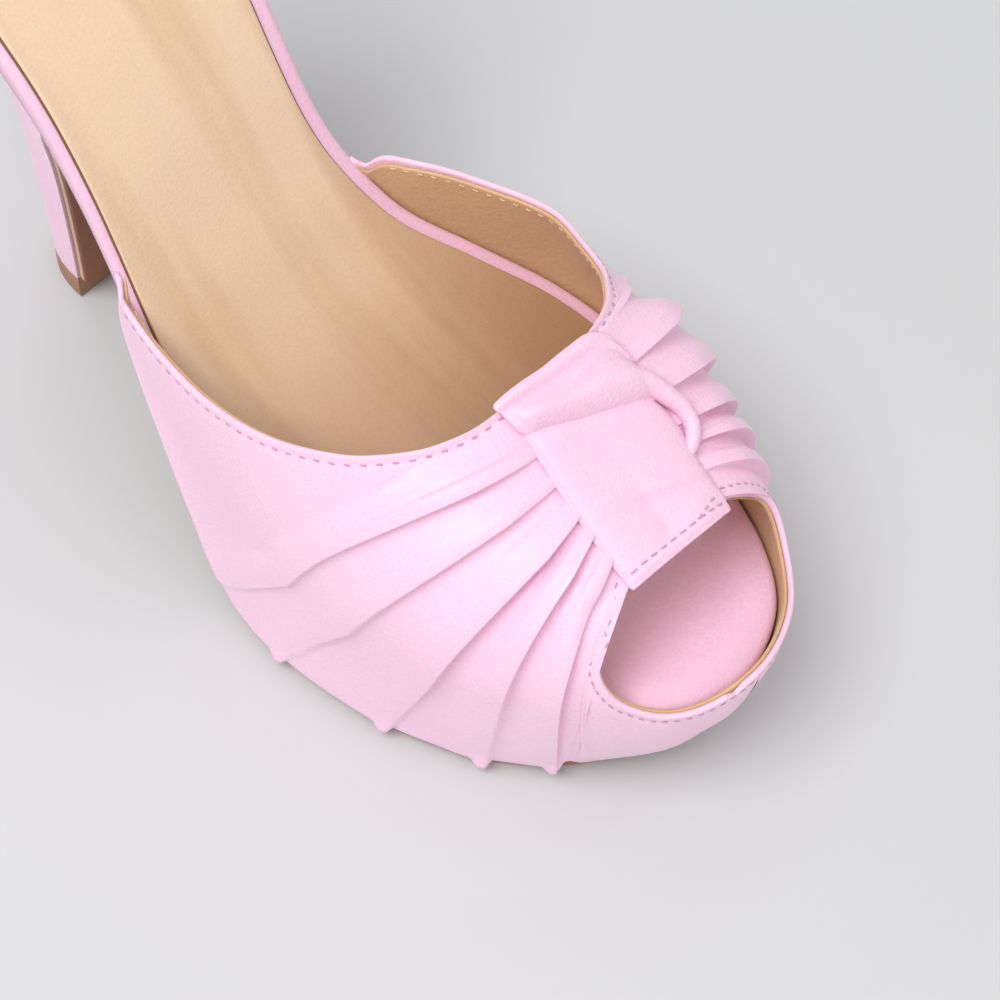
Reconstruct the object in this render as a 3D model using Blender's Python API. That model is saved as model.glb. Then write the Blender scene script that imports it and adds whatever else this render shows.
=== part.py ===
"""A right peep toe pump on a concealed platform: a pleated upper, a knotted band,
a closed heel counter and a covered block heel. Metres, +Z up, toe towards -Y,
the wearer's left (medial) side towards +X."""

import math

import bmesh
import bpy
import numpy as np

# Driving sizes, each set by itself
INSOLE_RUN = 0.205
BALL_WIDTH = 0.0834
HEEL_RISE = 0.0876
FOREPART_HEIGHT = 0.0349
VAMP_HEIGHT = 0.0436
COUNTER_HEIGHT = 0.050
INSOLE_THICKNESS = 0.005
SOCK_THICKNESS = 0.0013
UPPER_WALL = 0.0018
OUTSOLE_THICKNESS = 0.0028
BREAST_THICKNESS = 0.0016
LIFT_THICKNESS = 0.006
TIP_WIDTH = 0.0235
TIP_DEPTH = 0.0155
BAND_WIDTH = 0.0246
BAND_LENGTH = 0.0265
BAND_THICKNESS = 0.0024
FOLD_LENGTH = 0.0085
FOLD_THICKNESS = 0.0036
FOLD_DEPTH = 0.0017

# Named clearances
FIT_GAP = 0.0003
LINING_GAP = 0.0005
FOOT_GAP = 0.0005
SOLE_INSET = 0.0016
SOCK_MARGIN_LATERAL = 0.0021
SOCK_MARGIN_MEDIAL = 0.0040

# Shares that place one feature on another
FEATHER_SHARE = 0.36
DOME_CENTRE_SHARE = 0.117
DOME_FULLNESS = 2.3
SHOULDER_FOOT = 0.36
SHOULDER_TOP = 0.63
BAND_SHIFT_SHARE = 0.05
BAND_LIP_SHARE = 0.45
BAND_LIP_RISE = 4.0
KNOT_EDGE_SHARE = 0.4
KNOT_SIDE_BEND = 4
FOLD_SIDE_BEND = 6
COUNTER_BULGE_SHARE = 0.5
FAN_BEND = 1.3
HEEL_SQUARENESS = 2.15
HEEL_SIDE_BEND = 0.6

# Insole edge: share of the run, then half widths as shares of the ball width
EDGE = ("run", "lateral", "medial")
EDGE_ROWS = (
    (0.000, 0.000, 0.000),
    (0.018, 0.158, 0.163),
    (0.073, 0.276, 0.295),
    (0.149, 0.385, 0.387),
    (0.229, 0.452, 0.466),
    (0.317, 0.487, 0.513),
    (0.395, 0.486, 0.492),
    (0.473, 0.457, 0.414),
    (0.551, 0.420, 0.312),
    (0.629, 0.372, 0.258),
    (0.707, 0.342, 0.279),
    (0.790, 0.336, 0.315),
    (0.878, 0.335, 0.330),
    (0.946, 0.288, 0.288),
    (0.988, 0.168, 0.168),
    (1.000, 0.000, 0.000),
)

# Top of the insole: share of the run, rise above the forepart as a share of the heel rise
RISE = ("run", "rise")
RISE_ROWS = (
    (0.000, 0.045),
    (0.034, 0.040),
    (0.107, 0.010),
    (0.229, 0.000),
    (0.337, 0.026),
    (0.415, 0.056),
    (0.473, 0.095),
    (0.532, 0.155),
    (0.595, 0.277),
    (0.668, 0.484),
    (0.741, 0.664),
    (0.815, 0.803),
    (0.888, 0.902),
    (0.951, 0.965),
    (1.000, 1.000),
)

# Underside of the outsole: share of the run, height as a share of the forepart height
GROUND = ("run", "height")
GROUND_ROWS = (
    (-0.020, 0.250),
    (0.020, 0.150),
    (0.060, 0.070),
    (0.120, 0.012),
    (0.180, 0.000),
    (0.400, 0.000),
    (0.430, 0.040),
    (0.465, 0.240),
    (0.500, 0.570),
    (0.550, 1.040),
    (0.610, 1.560),
    (0.670, 2.150),
    (0.800, 3.600),
)

# How far the upper's lower edge lies inside its feather line, as a share of the ball width
TUCK = ("run", "inset")
TUCK_ROWS = (
    (-0.020, 0.095),
    (0.030, 0.085),
    (0.080, 0.052),
    (0.150, 0.020),
    (0.230, 0.000),
    (0.320, -0.014),
    (0.470, -0.022),
    (0.560, -0.010),
    (0.620, 0.000),
)

# Medial shoulder of the upper: edge row, share of its width by which it draws in
SHOULDER = ("row", "narrowing")
SHOULDER_ROWS = (
    (0.0, 0.000),
    (4.2, 0.000),
    (4.8, 0.170),
    (5.4, 0.165),
    (6.2, 0.080),
    (7.4, 0.000),
    (9.0, 0.000),
)

# Ridge of the upper: share of the run, height above the forepart as a share of the vamp height
RIDGE = ("run", "height")
RIDGE_ROWS = (
    (0.000, 0.160),
    (0.060, 0.420),
    (0.117, 0.580),
    (0.190, 0.760),
    (0.268, 1.000),
    (0.350, 1.260),
    (0.450, 1.550),
    (0.620, 2.100),
)

# Columns of the upper, wing tip to toe: for each side the row of EDGE_ROWS where the
# column starts at the lower edge, the row that it ends on and how high up it ends
# (1 is the ridge), and how deep the fold is that it carries, as a share of FOLD_DEPTH
FAN = ("lat_start", "lat_end", "lat_top", "lat_fold", "med_start", "med_end", "med_top", "med_fold")
FAN_ROWS = (
    (8.92, 8.92, 0.335, 0.0, 8.52, 8.52, 0.330, 0.0),
    (8.70, 8.60, 0.375, 0.0, 8.30, 8.20, 0.380, 0.0),
    (8.45, 7.96, 0.422, 0.0, 8.05, 7.62, 0.425, 0.0),
    (8.20, 7.06, 0.475, 0.0, 7.80, 6.90, 0.455, 0.0),
    (7.95, 6.30, 0.535, 0.0, 7.60, 6.15, 0.500, 0.0),
    (7.75, 5.65, 0.600, 0.0, 7.45, 5.55, 0.550, 0.0),
    (7.58, 5.08, 0.675, 0.0, 7.35, 5.05, 0.625, 0.0),
    (7.42, 4.62, 0.780, 0.0, 7.25, 4.65, 0.750, 0.0),
    (7.28, 4.42, 0.865, 0.0, 7.10, 4.46, 0.840, 0.0),
    (7.15, 4.34, 0.940, 0.0, 6.90, 4.34, 0.920, 0.0),
    (7.02, 4.25, 1.000, 0.0, 6.55, 4.25, 1.000, 0.9),
    (6.88, 3.80, 1.000, 0.7, 5.60, 3.80, 1.000, 1.3),
    (5.62, 3.45, 1.000, 0.9, 4.60, 3.45, 1.000, 1.4),
    (4.20, 3.12, 1.000, 1.1, 3.80, 3.12, 1.000, 1.4),
    (3.05, 2.92, 1.000, 1.0, 3.05, 2.92, 1.000, 1.3),
    (2.28, 2.60, 1.000, 0.9, 2.50, 2.60, 1.000, 1.2),
    (2.20, 2.16, 1.000, 0.0, 2.25, 2.16, 1.000, 0.0),
    (2.14, 2.16, 0.925, 0.0, 2.18, 2.16, 0.925, 0.0),
    (2.10, 2.18, 0.845, 0.0, 2.12, 2.12, 0.830, 0.0),
    (2.03, 2.31, 0.730, 0.0, 2.02, 2.16, 0.720, 0.0),
    (1.95, 2.27, 0.650, 0.0, 1.92, 2.15, 0.640, 0.0),
    (1.82, 2.18, 0.575, 0.0, 1.80, 2.10, 0.565, 0.0),
    (1.62, 2.02, 0.485, 0.0, 1.60, 1.95, 0.480, 0.0),
    (1.30, 1.70, 0.410, 0.0, 1.30, 1.65, 0.415, 0.0),
    (0.95, 1.30, 0.378, 0.0, 0.95, 1.25, 0.390, 0.0),
    (0.60, 0.80, 0.385, 0.0, 0.60, 0.75, 0.395, 0.0),
    (0.30, 0.35, 0.402, 0.0, 0.30, 0.35, 0.402, 0.0),
    (0.00, 0.00, 0.408, 0.0, 0.00, 0.00, 0.408, 0.0),
)

# The knot's band, front to back: how far along it, half width as a share of the band
# width, crown as a share of the band thickness
BAND = ("along", "half_width", "crown")
BAND_ROWS = (
    (0.00, 0.50, 0.75),
    (0.15, 0.50, 1.00),
    (0.45, 0.47, 1.15),
    (0.75, 0.44, 1.25),
    (1.00, 0.41, 1.30),
)

# The knot's rear fold, lateral to medial: how far across it, where its front edge lies
# ahead of its back edge and its height, as shares of the fold length and thickness
FOLD = ("across", "reach", "height")
FOLD_ROWS = (
    (0.00, 0.70, 0.55),
    (0.30, 1.00, 0.85),
    (0.60, 1.25, 1.00),
    (0.85, 1.45, 0.95),
    (1.00, 1.55, 0.60),
)

# Heel block, tip to seat: share of the height, shares of the way from the tip's outline
# to the seat's outline at the front face and at the back
HEEL = ("height", "breast", "back")
HEEL_ROWS = (
    (0.00, 0.000, 0.000),
    (0.15, 0.060, 0.015),
    (0.35, 0.190, 0.045),
    (0.55, 0.370, 0.105),
    (0.75, 0.620, 0.250),
    (0.90, 0.860, 0.580),
    (1.00, 1.000, 1.000),
)

# Counter: how far round from a front end to the back, height as a share of the counter
# height, lean inwards as a share of the same height
COUNTER = ("around", "height", "lean")
COUNTER_ROWS = (
    (0.00, 0.170, 0.000),
    (0.15, 0.380, 0.010),
    (0.35, 0.740, 0.045),
    (0.55, 0.915, 0.070),
    (0.75, 0.985, 0.085),
    (1.00, 1.000, 0.090),
)

# Places along the shoe, as rows of EDGE_ROWS or shares of the run
HEEL_BREAST_SHARE = 0.722
TIP_FRONT_SHARE = 0.822
COUNTER_START = 11.15
SOCK_START = 4.6
PLATFORM_END = 8.15
SHANK_END = 9.9
BAND_FRONT_SHARE = 0.103

# How the folds fade: rows past its edge over which a fold drops, the height near the
# ridge where it is gone, the height over which it goes, and its share at the lower edge
FOLD_DROP_ROWS = 0.16
FOLD_END = 0.90
FOLD_FADE = 0.25
FOLD_FOOT_SHARE = 0.55
FOLD_SWELL = 1.4

# Mesh fineness
COLUMNS_PER_ROW = 2
COLUMN_STEPS = 11
EDGE_STEPS = 2
BEND_STEPS = 6
BEND_ROWS = (6, 7)
CROSS_STEPS = 4
HEEL_ARC_STEPS = 14
PLATFORM_LEVELS = (0.0, 0.35, 0.7, 1.0)
KNOT_STEPS_ACROSS = 12
BAND_STEPS = 10
FOLD_STEPS = 6
COUNTER_STEPS = 20
COUNTER_RISE_STEPS = 6
HEEL_STEPS = (0.0, 0.08, 0.18, 0.3, 0.42, 0.54, 0.66, 0.77, 0.87, 0.95, 1.0)
BREAST_STEPS = (1.0, 0.93, 0.82, 0.7, 0.55, 0.4, 0.25, 0.12, 0.0)
BREAST_REACH = 0.02

LATERAL = -1
MEDIAL = 1
LAST_ROW = len(EDGE_ROWS) - 1


def column(names, rows, name):
    """One named column of a table."""
    place = names.index(name)
    return np.array([row[place] for row in rows])


def read_smooth(xs, ys, x):
    """Monotone cubic through (xs, ys), held level past both ends."""
    step = np.diff(xs)
    rate = np.diff(ys) / step
    slope = np.concatenate(([rate[0]], np.zeros(len(xs) - 2), [rate[-1]]))
    for i in range(1, len(xs) - 1):
        if rate[i - 1] * rate[i] > 0:
            before = 2 * step[i] + step[i - 1]
            after = step[i] + 2 * step[i - 1]
            slope[i] = (before + after) / (before / rate[i - 1] + after / rate[i])
    x = np.clip(x, xs[0], xs[-1])
    i = np.clip(np.searchsorted(xs, x) - 1, 0, len(step) - 1)
    t = (x - xs[i]) / step[i]
    rising = t * t * (3 - 2 * t)
    leaving = t * (1 - t) ** 2 * step[i]
    arriving = t * t * (t - 1) * step[i]
    return (1 - rising) * ys[i] + rising * ys[i + 1] + leaving * slope[i] + arriving * slope[i + 1]


def table(names, rows, name, at):
    """A named column read smoothly at a value of the table's first column."""
    return read_smooth(column(names, rows, names[0]), column(names, rows, name), at)


def fan(name, at):
    """A named column of the fan, read at a row number."""
    return read_smooth(np.arange(len(FAN_ROWS), dtype=float), column(FAN, FAN_ROWS, name), at)


def insole_top(y):
    return FOREPART_HEIGHT + HEEL_RISE * table(RISE, RISE_ROWS, "rise", y / INSOLE_RUN)


def insole_bottom(y):
    return insole_top(y) - INSOLE_THICKNESS


def sole_bottom(y):
    """Underside of the outsole; behind the platform it runs along under the insole."""
    ground = FOREPART_HEIGHT * table(GROUND, GROUND_ROWS, "height", y / INSOLE_RUN)
    return np.minimum(ground, insole_bottom(y) - FIT_GAP - OUTSOLE_THICKNESS)


def sole_top(y):
    return sole_bottom(y) + OUTSOLE_THICKNESS


def upper_foot(y):
    """Height of the upper's lower edge, just above the outsole."""
    return sole_top(y) + FOOT_GAP


def ridge_height(y):
    return FOREPART_HEIGHT + VAMP_HEIGHT * table(RIDGE, RIDGE_ROWS, "height", y / INSOLE_RUN)


def row_run(row):
    """Distance from the toe of a row number of EDGE_ROWS."""
    at = np.arange(len(EDGE_ROWS), dtype=float)
    return INSOLE_RUN * read_smooth(at, column(EDGE, EDGE_ROWS, "run"), row)


def row_ridge(row):
    """Where a column of the dome meets the ridge: over the toes they gather at its centre."""
    centre = DOME_CENTRE_SHARE * INSOLE_RUN
    return (row_run(row) ** 3 + centre ** 3) ** (1 / 3)


def edge(side, row, offset=0.0):
    """Plan point on the insole's edge at a row number, moved outwards by offset."""
    row = np.atleast_1d(np.asarray(row, float))
    near, far = ("lateral", "medial") if side == LATERAL else ("medial", "lateral")
    run = column(EDGE, EDGE_ROWS, "run") * INSOLE_RUN
    own = np.stack([side * column(EDGE, EDGE_ROWS, near) * BALL_WIDTH, run], 1)
    other = np.stack([-side * column(EDGE, EDGE_ROWS, far) * BALL_WIDTH, run], 1)
    points = np.concatenate([other[[2, 1]], own, other[[-2, -3]]])
    knots = np.concatenate([[0.0], np.cumsum(np.linalg.norm(np.diff(points, axis=0), axis=1))])
    rate = np.diff(points, axis=0) / np.diff(knots)[:, None]
    weight = (np.diff(knots)[1:] / (knots[2:] - knots[:-2]))[:, None]
    tangent = np.zeros_like(points)
    tangent[1:-1] = rate[:-1] * weight + rate[1:] * (1 - weight)
    i = np.clip(row.astype(int), 0, LAST_ROW - 1) + 2
    t = (row - (i - 2))[:, None]
    gap = np.diff(knots)[i][:, None]
    place = (
        (1 + 2 * t) * (1 - t) ** 2 * points[i]
        + t * t * (3 - 2 * t) * points[i + 1]
        + t * (1 - t) ** 2 * gap * tangent[i]
        + t * t * (t - 1) * gap * tangent[i + 1]
    )
    way = (
        6 * t * (t - 1) * (points[i] - points[i + 1]) / gap
        + (3 * t * t - 4 * t + 1) * tangent[i]
        + (3 * t * t - 2 * t) * tangent[i + 1]
    )
    way /= np.linalg.norm(way, axis=1)[:, None]
    outward = np.stack([way[:, 1], -way[:, 0]], 1) * side
    return place + np.reshape(offset, (-1, 1)) * outward


def tuck(y):
    return BALL_WIDTH * table(TUCK, TUCK_ROWS, "inset", y / INSOLE_RUN)


def shoulder(row, height):
    """Share by which the medial shoulder draws in, over edge rows and heights."""
    above = np.clip((height - SHOULDER_FOOT) / (SHOULDER_TOP - SHOULDER_FOOT), 0, 1)
    return table(SHOULDER, SHOULDER_ROWS, "narrowing", row) * above * above * (3 - 2 * above)


def upper_point(side, row, height, grow=0.0):
    """Outer face of the upper before it is cut and folded. height runs from 0 at the
    lower edge, past the feather line, to 1 on the ridge; grow moves the face outwards."""
    row, height = np.broadcast_arrays(np.atleast_1d(np.asarray(row, float)), np.asarray(height, float))
    reach = UPPER_WALL + LINING_GAP + grow
    feather = edge(side, row, reach)
    feather_y = np.maximum(feather[:, 1], 0)
    foot = edge(side, row, reach - tuck(feather[:, 1]))
    feather_z = insole_top(feather_y)
    foot_z = np.minimum(upper_foot(foot[:, 1]), feather_z - FIT_GAP)
    ridge_y = row_ridge(row)
    ridge_z = ridge_height(ridge_y) + grow
    drop = 1 - np.clip(height / FEATHER_SHARE, 0, 1)
    turn = np.clip((height - FEATHER_SHARE) / (1 - FEATHER_SHARE), 0, 1) * math.pi / 2
    rise = np.sin(turn) ** (2 / DOME_FULLNESS)
    close = 1 - np.abs(np.cos(turn)) ** (2 / DOME_FULLNESS)
    close = np.where(height >= 1, 1.0, close)
    ridge = np.stack([np.zeros_like(ridge_y), ridge_y], 1)
    point = np.empty((len(row), 3))
    point[:, :2] = feather + (foot - feather) * (drop ** 2)[:, None] + (ridge - feather) * close[:, None]
    point[:, 2] = feather_z + (foot_z - feather_z) * drop + (ridge_z - feather_z) * rise
    if side == MEDIAL:
        point[:, 0] *= 1 - shoulder(row, height)
    return point


def dome_height(x, y, grow=0.0):
    """Height of the upper's outer face over a plan point near the ridge."""
    side = LATERAL if x < 0 else MEDIAL
    x = max(abs(x), FIT_GAP)
    low, high = 0.0, 6.0
    reach = UPPER_WALL + LINING_GAP + grow
    for _ in range(40):
        row = (low + high) / 2
        feather = edge(side, row, reach)[0]
        close = 1 - min(x / max(abs(feather[0]), FIT_GAP / 10), 1.0)
        if feather[1] + (float(row_ridge(row)) - feather[1]) * close < y:
            low = row
        else:
            high = row
    feather_z = float(insole_top(max(feather[1], 0)))
    turn = math.acos(min((1 - close) ** (DOME_FULLNESS / 2), 1.0))
    ridge_z = float(ridge_height(row_ridge(row))) + grow
    return feather_z + (ridge_z - feather_z) * math.sin(turn) ** (2 / DOME_FULLNESS)


def new_material(name, colour, roughness):
    material = bpy.data.materials.new(name)
    material.use_nodes = True
    shader = material.node_tree.nodes["Principled BSDF"]
    shader.inputs["Base Color"].default_value = (*colour, 1.0)
    shader.inputs["Roughness"].default_value = roughness
    shader.inputs["Metallic"].default_value = 0.0
    return material


def new_solid(name, points, faces, material, sharp_angle=50):
    """One closed object, its faces turned outwards, shaded smooth up to sharp_angle."""
    mesh = bpy.data.meshes.new(name)
    work = bmesh.new()
    verts = [work.verts.new(point) for point in points]
    for face in faces:
        corners = [verts[i] for i in face]
        if len(set(corners)) > 2:
            work.faces.new(corners)
    bmesh.ops.remove_doubles(work, verts=work.verts, dist=1e-6)
    bmesh.ops.dissolve_degenerate(work, dist=1e-7, edges=work.edges)
    bmesh.ops.triangulate(work, faces=work.faces)
    bmesh.ops.recalc_face_normals(work, faces=work.faces)
    if work.calc_volume(signed=True) < 0:
        bmesh.ops.reverse_faces(work, faces=work.faces)
    work.to_mesh(mesh)
    work.free()
    mesh.materials.append(material)
    mesh.shade_smooth()
    mesh.set_sharp_from_angle(angle=math.radians(sharp_angle))
    solid = bpy.data.objects.new(name, mesh)
    bpy.context.scene.collection.objects.link(solid)
    return solid


def loft(name, rings, material, sharp_angle=50):
    """A solid through rings of equally many points, closed by a cap at each end."""
    count = len(rings[0])
    points = [tuple(point) for ring in rings for point in ring]
    faces = [tuple(range(count)), tuple(range((len(rings) - 1) * count, len(rings) * count))]
    for k in range(len(rings) - 1):
        for j in range(count):
            a = k * count + j
            b = k * count + (j + 1) % count
            faces.append((a, b, b + count, a + count))
    return new_solid(name, points, faces, material, sharp_angle)


def sheet_between(name, top, bottom, material, sharp_angle=50):
    """A solid between two grids of points of equal shape, closed round their borders."""
    top = np.asarray(top)
    bottom = np.asarray(bottom)
    rows, cols = top.shape[:2]
    points = [*map(tuple, top.reshape(-1, 3)), *map(tuple, bottom.reshape(-1, 3))]
    below = rows * cols
    faces = []
    for r in range(rows - 1):
        for c in range(cols - 1):
            a = r * cols + c
            faces.append((a, a + 1, a + cols + 1, a + cols))
            faces.append((a + below, a + cols + below, a + cols + 1 + below, a + 1 + below))
    border = [(0, c) for c in range(cols)]
    border += [(r, cols - 1) for r in range(1, rows)]
    border += [(rows - 1, c) for c in range(cols - 2, -1, -1)]
    border += [(r, 0) for r in range(rows - 2, 0, -1)]
    ring = [r * cols + c for r, c in border]
    for a, b in zip(ring, ring[1:] + ring[:1]):
        faces.append((a, a + below, b + below, b))
    return new_solid(name, points, faces, material, sharp_angle)


def across_points(start, height, stop):
    """Points straight across the plan from start to stop, each at its own height."""
    points = []
    for step in range(CROSS_STEPS + 1):
        x, y = start + (stop - start) * step / CROSS_STEPS
        points.append((x, y, float(height(y))))
    return points


def slab(name, rows, levels, material):
    """A plate of the shoe's own outline. Each level gives the lateral and medial offset
    from the insole's edge and the height as functions of the distance from the toe;
    the first level is its top and the last its bottom."""
    rings = []
    for row in rows:
        ring_left = []
        ring_right = []
        for lateral_offset, medial_offset, height in levels:
            run = float(row_run(row))
            left = edge(LATERAL, row, lateral_offset(run))[0]
            right = edge(MEDIAL, row, medial_offset(run))[0]
            ring_left.append((left, height))
            ring_right.append((right, height))
        ring = across_points(*ring_left[0], ring_right[0][0])
        ring += [(*place, float(height(place[1]))) for place, height in ring_right[1:-1]]
        ring += across_points(*ring_right[-1], ring_left[-1][0])
        ring += [(*place, float(height(place[1]))) for place, height in reversed(ring_left[1:-1])]
        rings.append(ring)
    return loft(name, rings, material)


def row_steps(start, stop):
    """Row numbers from start to stop, close together at the round ends and behind the ball."""
    rows = {start, stop}
    for row in range(LAST_ROW):
        fine = BEND_STEPS if row in (0, *BEND_ROWS, LAST_ROW - 1) else EDGE_STEPS
        rows.update(row + k / fine for k in range(fine + 1))
    rows.update((0.05, LAST_ROW - 0.05))
    return [row for row in sorted(rows) if start <= row <= stop and 0 < row < LAST_ROW]


def no_offset(run):
    return 0.0


def build_insole(material):
    levels = ((no_offset, no_offset, insole_top), (no_offset, no_offset, insole_bottom))
    return slab("insole", row_steps(0, LAST_ROW), levels, material)


def build_sock(material):
    def lateral(run):
        return -SOCK_MARGIN_LATERAL

    def medial(run):
        return -SOCK_MARGIN_MEDIAL

    def top(y):
        return insole_top(y) + FIT_GAP + SOCK_THICKNESS

    def bottom(y):
        return insole_top(y) + FIT_GAP

    levels = ((lateral, medial, top), (lateral, medial, bottom))
    return slab("sock", row_steps(SOCK_START, LAST_ROW), levels, material)


def build_platform(material):
    """The forepart block between insole and outsole, inside the upper."""

    def height_at(y, share):
        top = insole_bottom(y) - FIT_GAP
        bottom = np.minimum(sole_top(y) + FIT_GAP, top - FIT_GAP)
        return top + (bottom - top) * share

    def level(share):
        def offset(run):
            top = insole_top(run)
            drop = (top - height_at(run, share)) / (top - upper_foot(run))
            return -float(tuck(run) * drop ** 2) - FIT_GAP

        def height(y):
            return height_at(y, share)

        return offset, offset, height

    levels = [level(share) for share in PLATFORM_LEVELS]
    return slab("platform", row_steps(0, PLATFORM_END), levels, material)


def breast_line(share):
    """Point (y, z) on the heel's front line at a share of the way from tip to seat."""
    bottom = np.array([TIP_FRONT_SHARE * INSOLE_RUN, LIFT_THICKNESS + FIT_GAP])
    top_y = HEEL_BREAST_SHARE * INSOLE_RUN
    top = np.array([top_y, float(insole_bottom(top_y)) - FIT_GAP])
    spread = float(table(HEEL, HEEL_ROWS, "breast", share))
    return np.array([bottom[0] + (top[0] - bottom[0]) * spread, bottom[1] + (top[1] - bottom[1]) * share])


def heel_half_width(side, share):
    """Half width of the heel's front face from tip to seat."""
    spread = float(table(HEEL, HEEL_ROWS, "breast", share))
    seat_row = np.interp(HEEL_BREAST_SHARE, column(EDGE, EDGE_ROWS, "run"), np.arange(len(EDGE_ROWS)))
    seat = abs(float(edge(side, seat_row)[0][0]))
    return TIP_WIDTH / 2 + (seat - TIP_WIDTH / 2) * spread


def build_outsole(material):
    """One leather: under the forepart, up the waist and down the heel's front face."""
    rings = []
    for row in row_steps(0, SHANK_END):
        run = float(row_run(row))
        under_upper = float(run < row_run(PLATFORM_END))
        inset = (UPPER_WALL + LINING_GAP) * under_upper - float(tuck(run)) - SOLE_INSET
        left = edge(LATERAL, row, inset)[0]
        right = edge(MEDIAL, row, inset)[0]
        rings.append(across_points(left, sole_top, right) + across_points(right, sole_bottom, left))
    for share in BREAST_STEPS:
        here = breast_line(share)
        way = breast_line(max(share - BREAST_REACH, 0.0)) - breast_line(min(share + BREAST_REACH, 1.0))
        forward = np.array([way[1], -way[0]]) / np.linalg.norm(way)
        back_face = here + forward * FIT_GAP
        front_face = here + forward * (FIT_GAP + BREAST_THICKNESS)
        left = -heel_half_width(LATERAL, share) + SOLE_INSET / 2
        right = heel_half_width(MEDIAL, share) - SOLE_INSET / 2
        ring = []
        for step in range(CROSS_STEPS + 1):
            x = left + (right - left) * step / CROSS_STEPS
            ring.append((x, back_face[0], back_face[1]))
        for step in range(CROSS_STEPS + 1):
            x = right + (left - right) * step / CROSS_STEPS
            ring.append((x, front_face[0], front_face[1]))
        rings.append(ring)
    return loft("outsole", rings, material)


def tip_outline(width, depth, front):
    """D shaped outline: flat front, round back, from the lateral to the medial corner."""
    points = []
    for step in range(HEEL_ARC_STEPS + 1):
        turn = math.pi * step / HEEL_ARC_STEPS
        across = -math.cos(turn)
        back = math.sin(turn)
        x = math.copysign(abs(across) ** (2 / HEEL_SQUARENESS), across) * width / 2
        y = front + depth * back ** (2 / HEEL_SQUARENESS)
        points.append((x, y))
    return np.array(points)


def seat_outline():
    """Outline of the heel seat from the lateral corner of the breast round the back."""
    start = np.interp(HEEL_BREAST_SHARE, column(EDGE, EDGE_ROWS, "run"), np.arange(len(EDGE_ROWS)))
    half = HEEL_ARC_STEPS // 2
    ways = [math.sin(math.pi / 2 * step / half) for step in range(half + 1)]
    rows = [start + (LAST_ROW - start) * way for way in ways]
    left = [edge(LATERAL, row)[0] for row in rows]
    right = [edge(MEDIAL, row)[0] for row in reversed(rows[:-1])]
    return np.array(left + right)


def build_heel(material):
    tip = tip_outline(TIP_WIDTH, TIP_DEPTH, TIP_FRONT_SHARE * INSOLE_RUN)
    seat = seat_outline()
    turns = np.linspace(0, math.pi, HEEL_ARC_STEPS + 1)
    backness = np.abs(np.sin(turns)) ** HEEL_SIDE_BEND
    rings = []
    for share in HEEL_STEPS:
        front = float(table(HEEL, HEEL_ROWS, "breast", share))
        back = float(table(HEEL, HEEL_ROWS, "back", share))
        spread = front + (back - front) * backness
        plan = tip + (seat - tip) * spread[:, None]
        low = LIFT_THICKNESS + FIT_GAP
        ring = []
        for (x, y), (_, seat_y) in zip(plan, seat):
            high = float(insole_bottom(seat_y)) - FIT_GAP
            ring.append((x, y, low + (high - low) * share))
        rings.append(ring)
    return loft("heel_block", rings, material)


def build_lift(material):
    outline = tip_outline(TIP_WIDTH, TIP_DEPTH, TIP_FRONT_SHARE * INSOLE_RUN)
    rings = [[(x, y, z) for x, y in outline] for z in (0.0, LIFT_THICKNESS)]
    return loft("top_lift", rings, material)


def fold_relief(side, at):
    """Height of the folds at a fan row number: each one rises towards the toe, up to
    its edge, and drops there."""
    name = "lat_fold" if side == LATERAL else "med_fold"
    folds = column(FAN, FAN_ROWS, name)
    lines = [row for row in range(len(folds)) if folds[row] > 0]
    relief = 0.0
    start = lines[0] - 1.0
    for line in lines:
        if start <= at <= line:
            relief = max(relief, folds[line] * ((at - start) / (line - start)) ** FOLD_SWELL)
        elif line < at < line + FOLD_DROP_ROWS:
            relief = max(relief, folds[line] * (1 - (at - line) / FOLD_DROP_ROWS))
        start = float(line)
    return relief * FOLD_DEPTH


def upper_column(side, at, inner):
    """Points up one column of the fan, lower edge to cut edge, on one face of the wall."""
    prefix = "lat" if side == LATERAL else "med"
    start = float(fan(prefix + "_start", at))
    end = float(fan(prefix + "_end", at))
    top = min(float(fan(prefix + "_top", at)), 1.0)
    share = np.linspace(0.0, 1.0, COLUMN_STEPS + 1)
    row = start + (end - start) * (1 - (1 - share) ** FAN_BEND)
    height = share * top
    face = upper_point(side, row, height, -UPPER_WALL if inner else 0.0)
    if not inner:
        fade = np.clip((FOLD_END - height) / FOLD_FADE, 0, 1)
        relief = fold_relief(side, at) * fade * (FOLD_FOOT_SHARE + (1 - FOLD_FOOT_SHARE) * share)
        grown = upper_point(side, row, height, FOLD_DEPTH)
        face += (grown - face) * (relief / FOLD_DEPTH)[:, None]
        face[:, 2] = np.where(share == 0, upper_foot(face[:, 1]), face[:, 2])
    return face


def fan_places():
    """Row numbers of the upper's columns, with a pair at each fold's edge."""
    places = {float(k) / COLUMNS_PER_ROW for k in range(COLUMNS_PER_ROW * (len(FAN_ROWS) - 1) + 1)}
    folds = column(FAN, FAN_ROWS, "lat_fold") + column(FAN, FAN_ROWS, "med_fold")
    places.update(row + FOLD_DROP_ROWS for row in range(len(folds)) if folds[row] > 0)
    return sorted(places)


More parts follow.
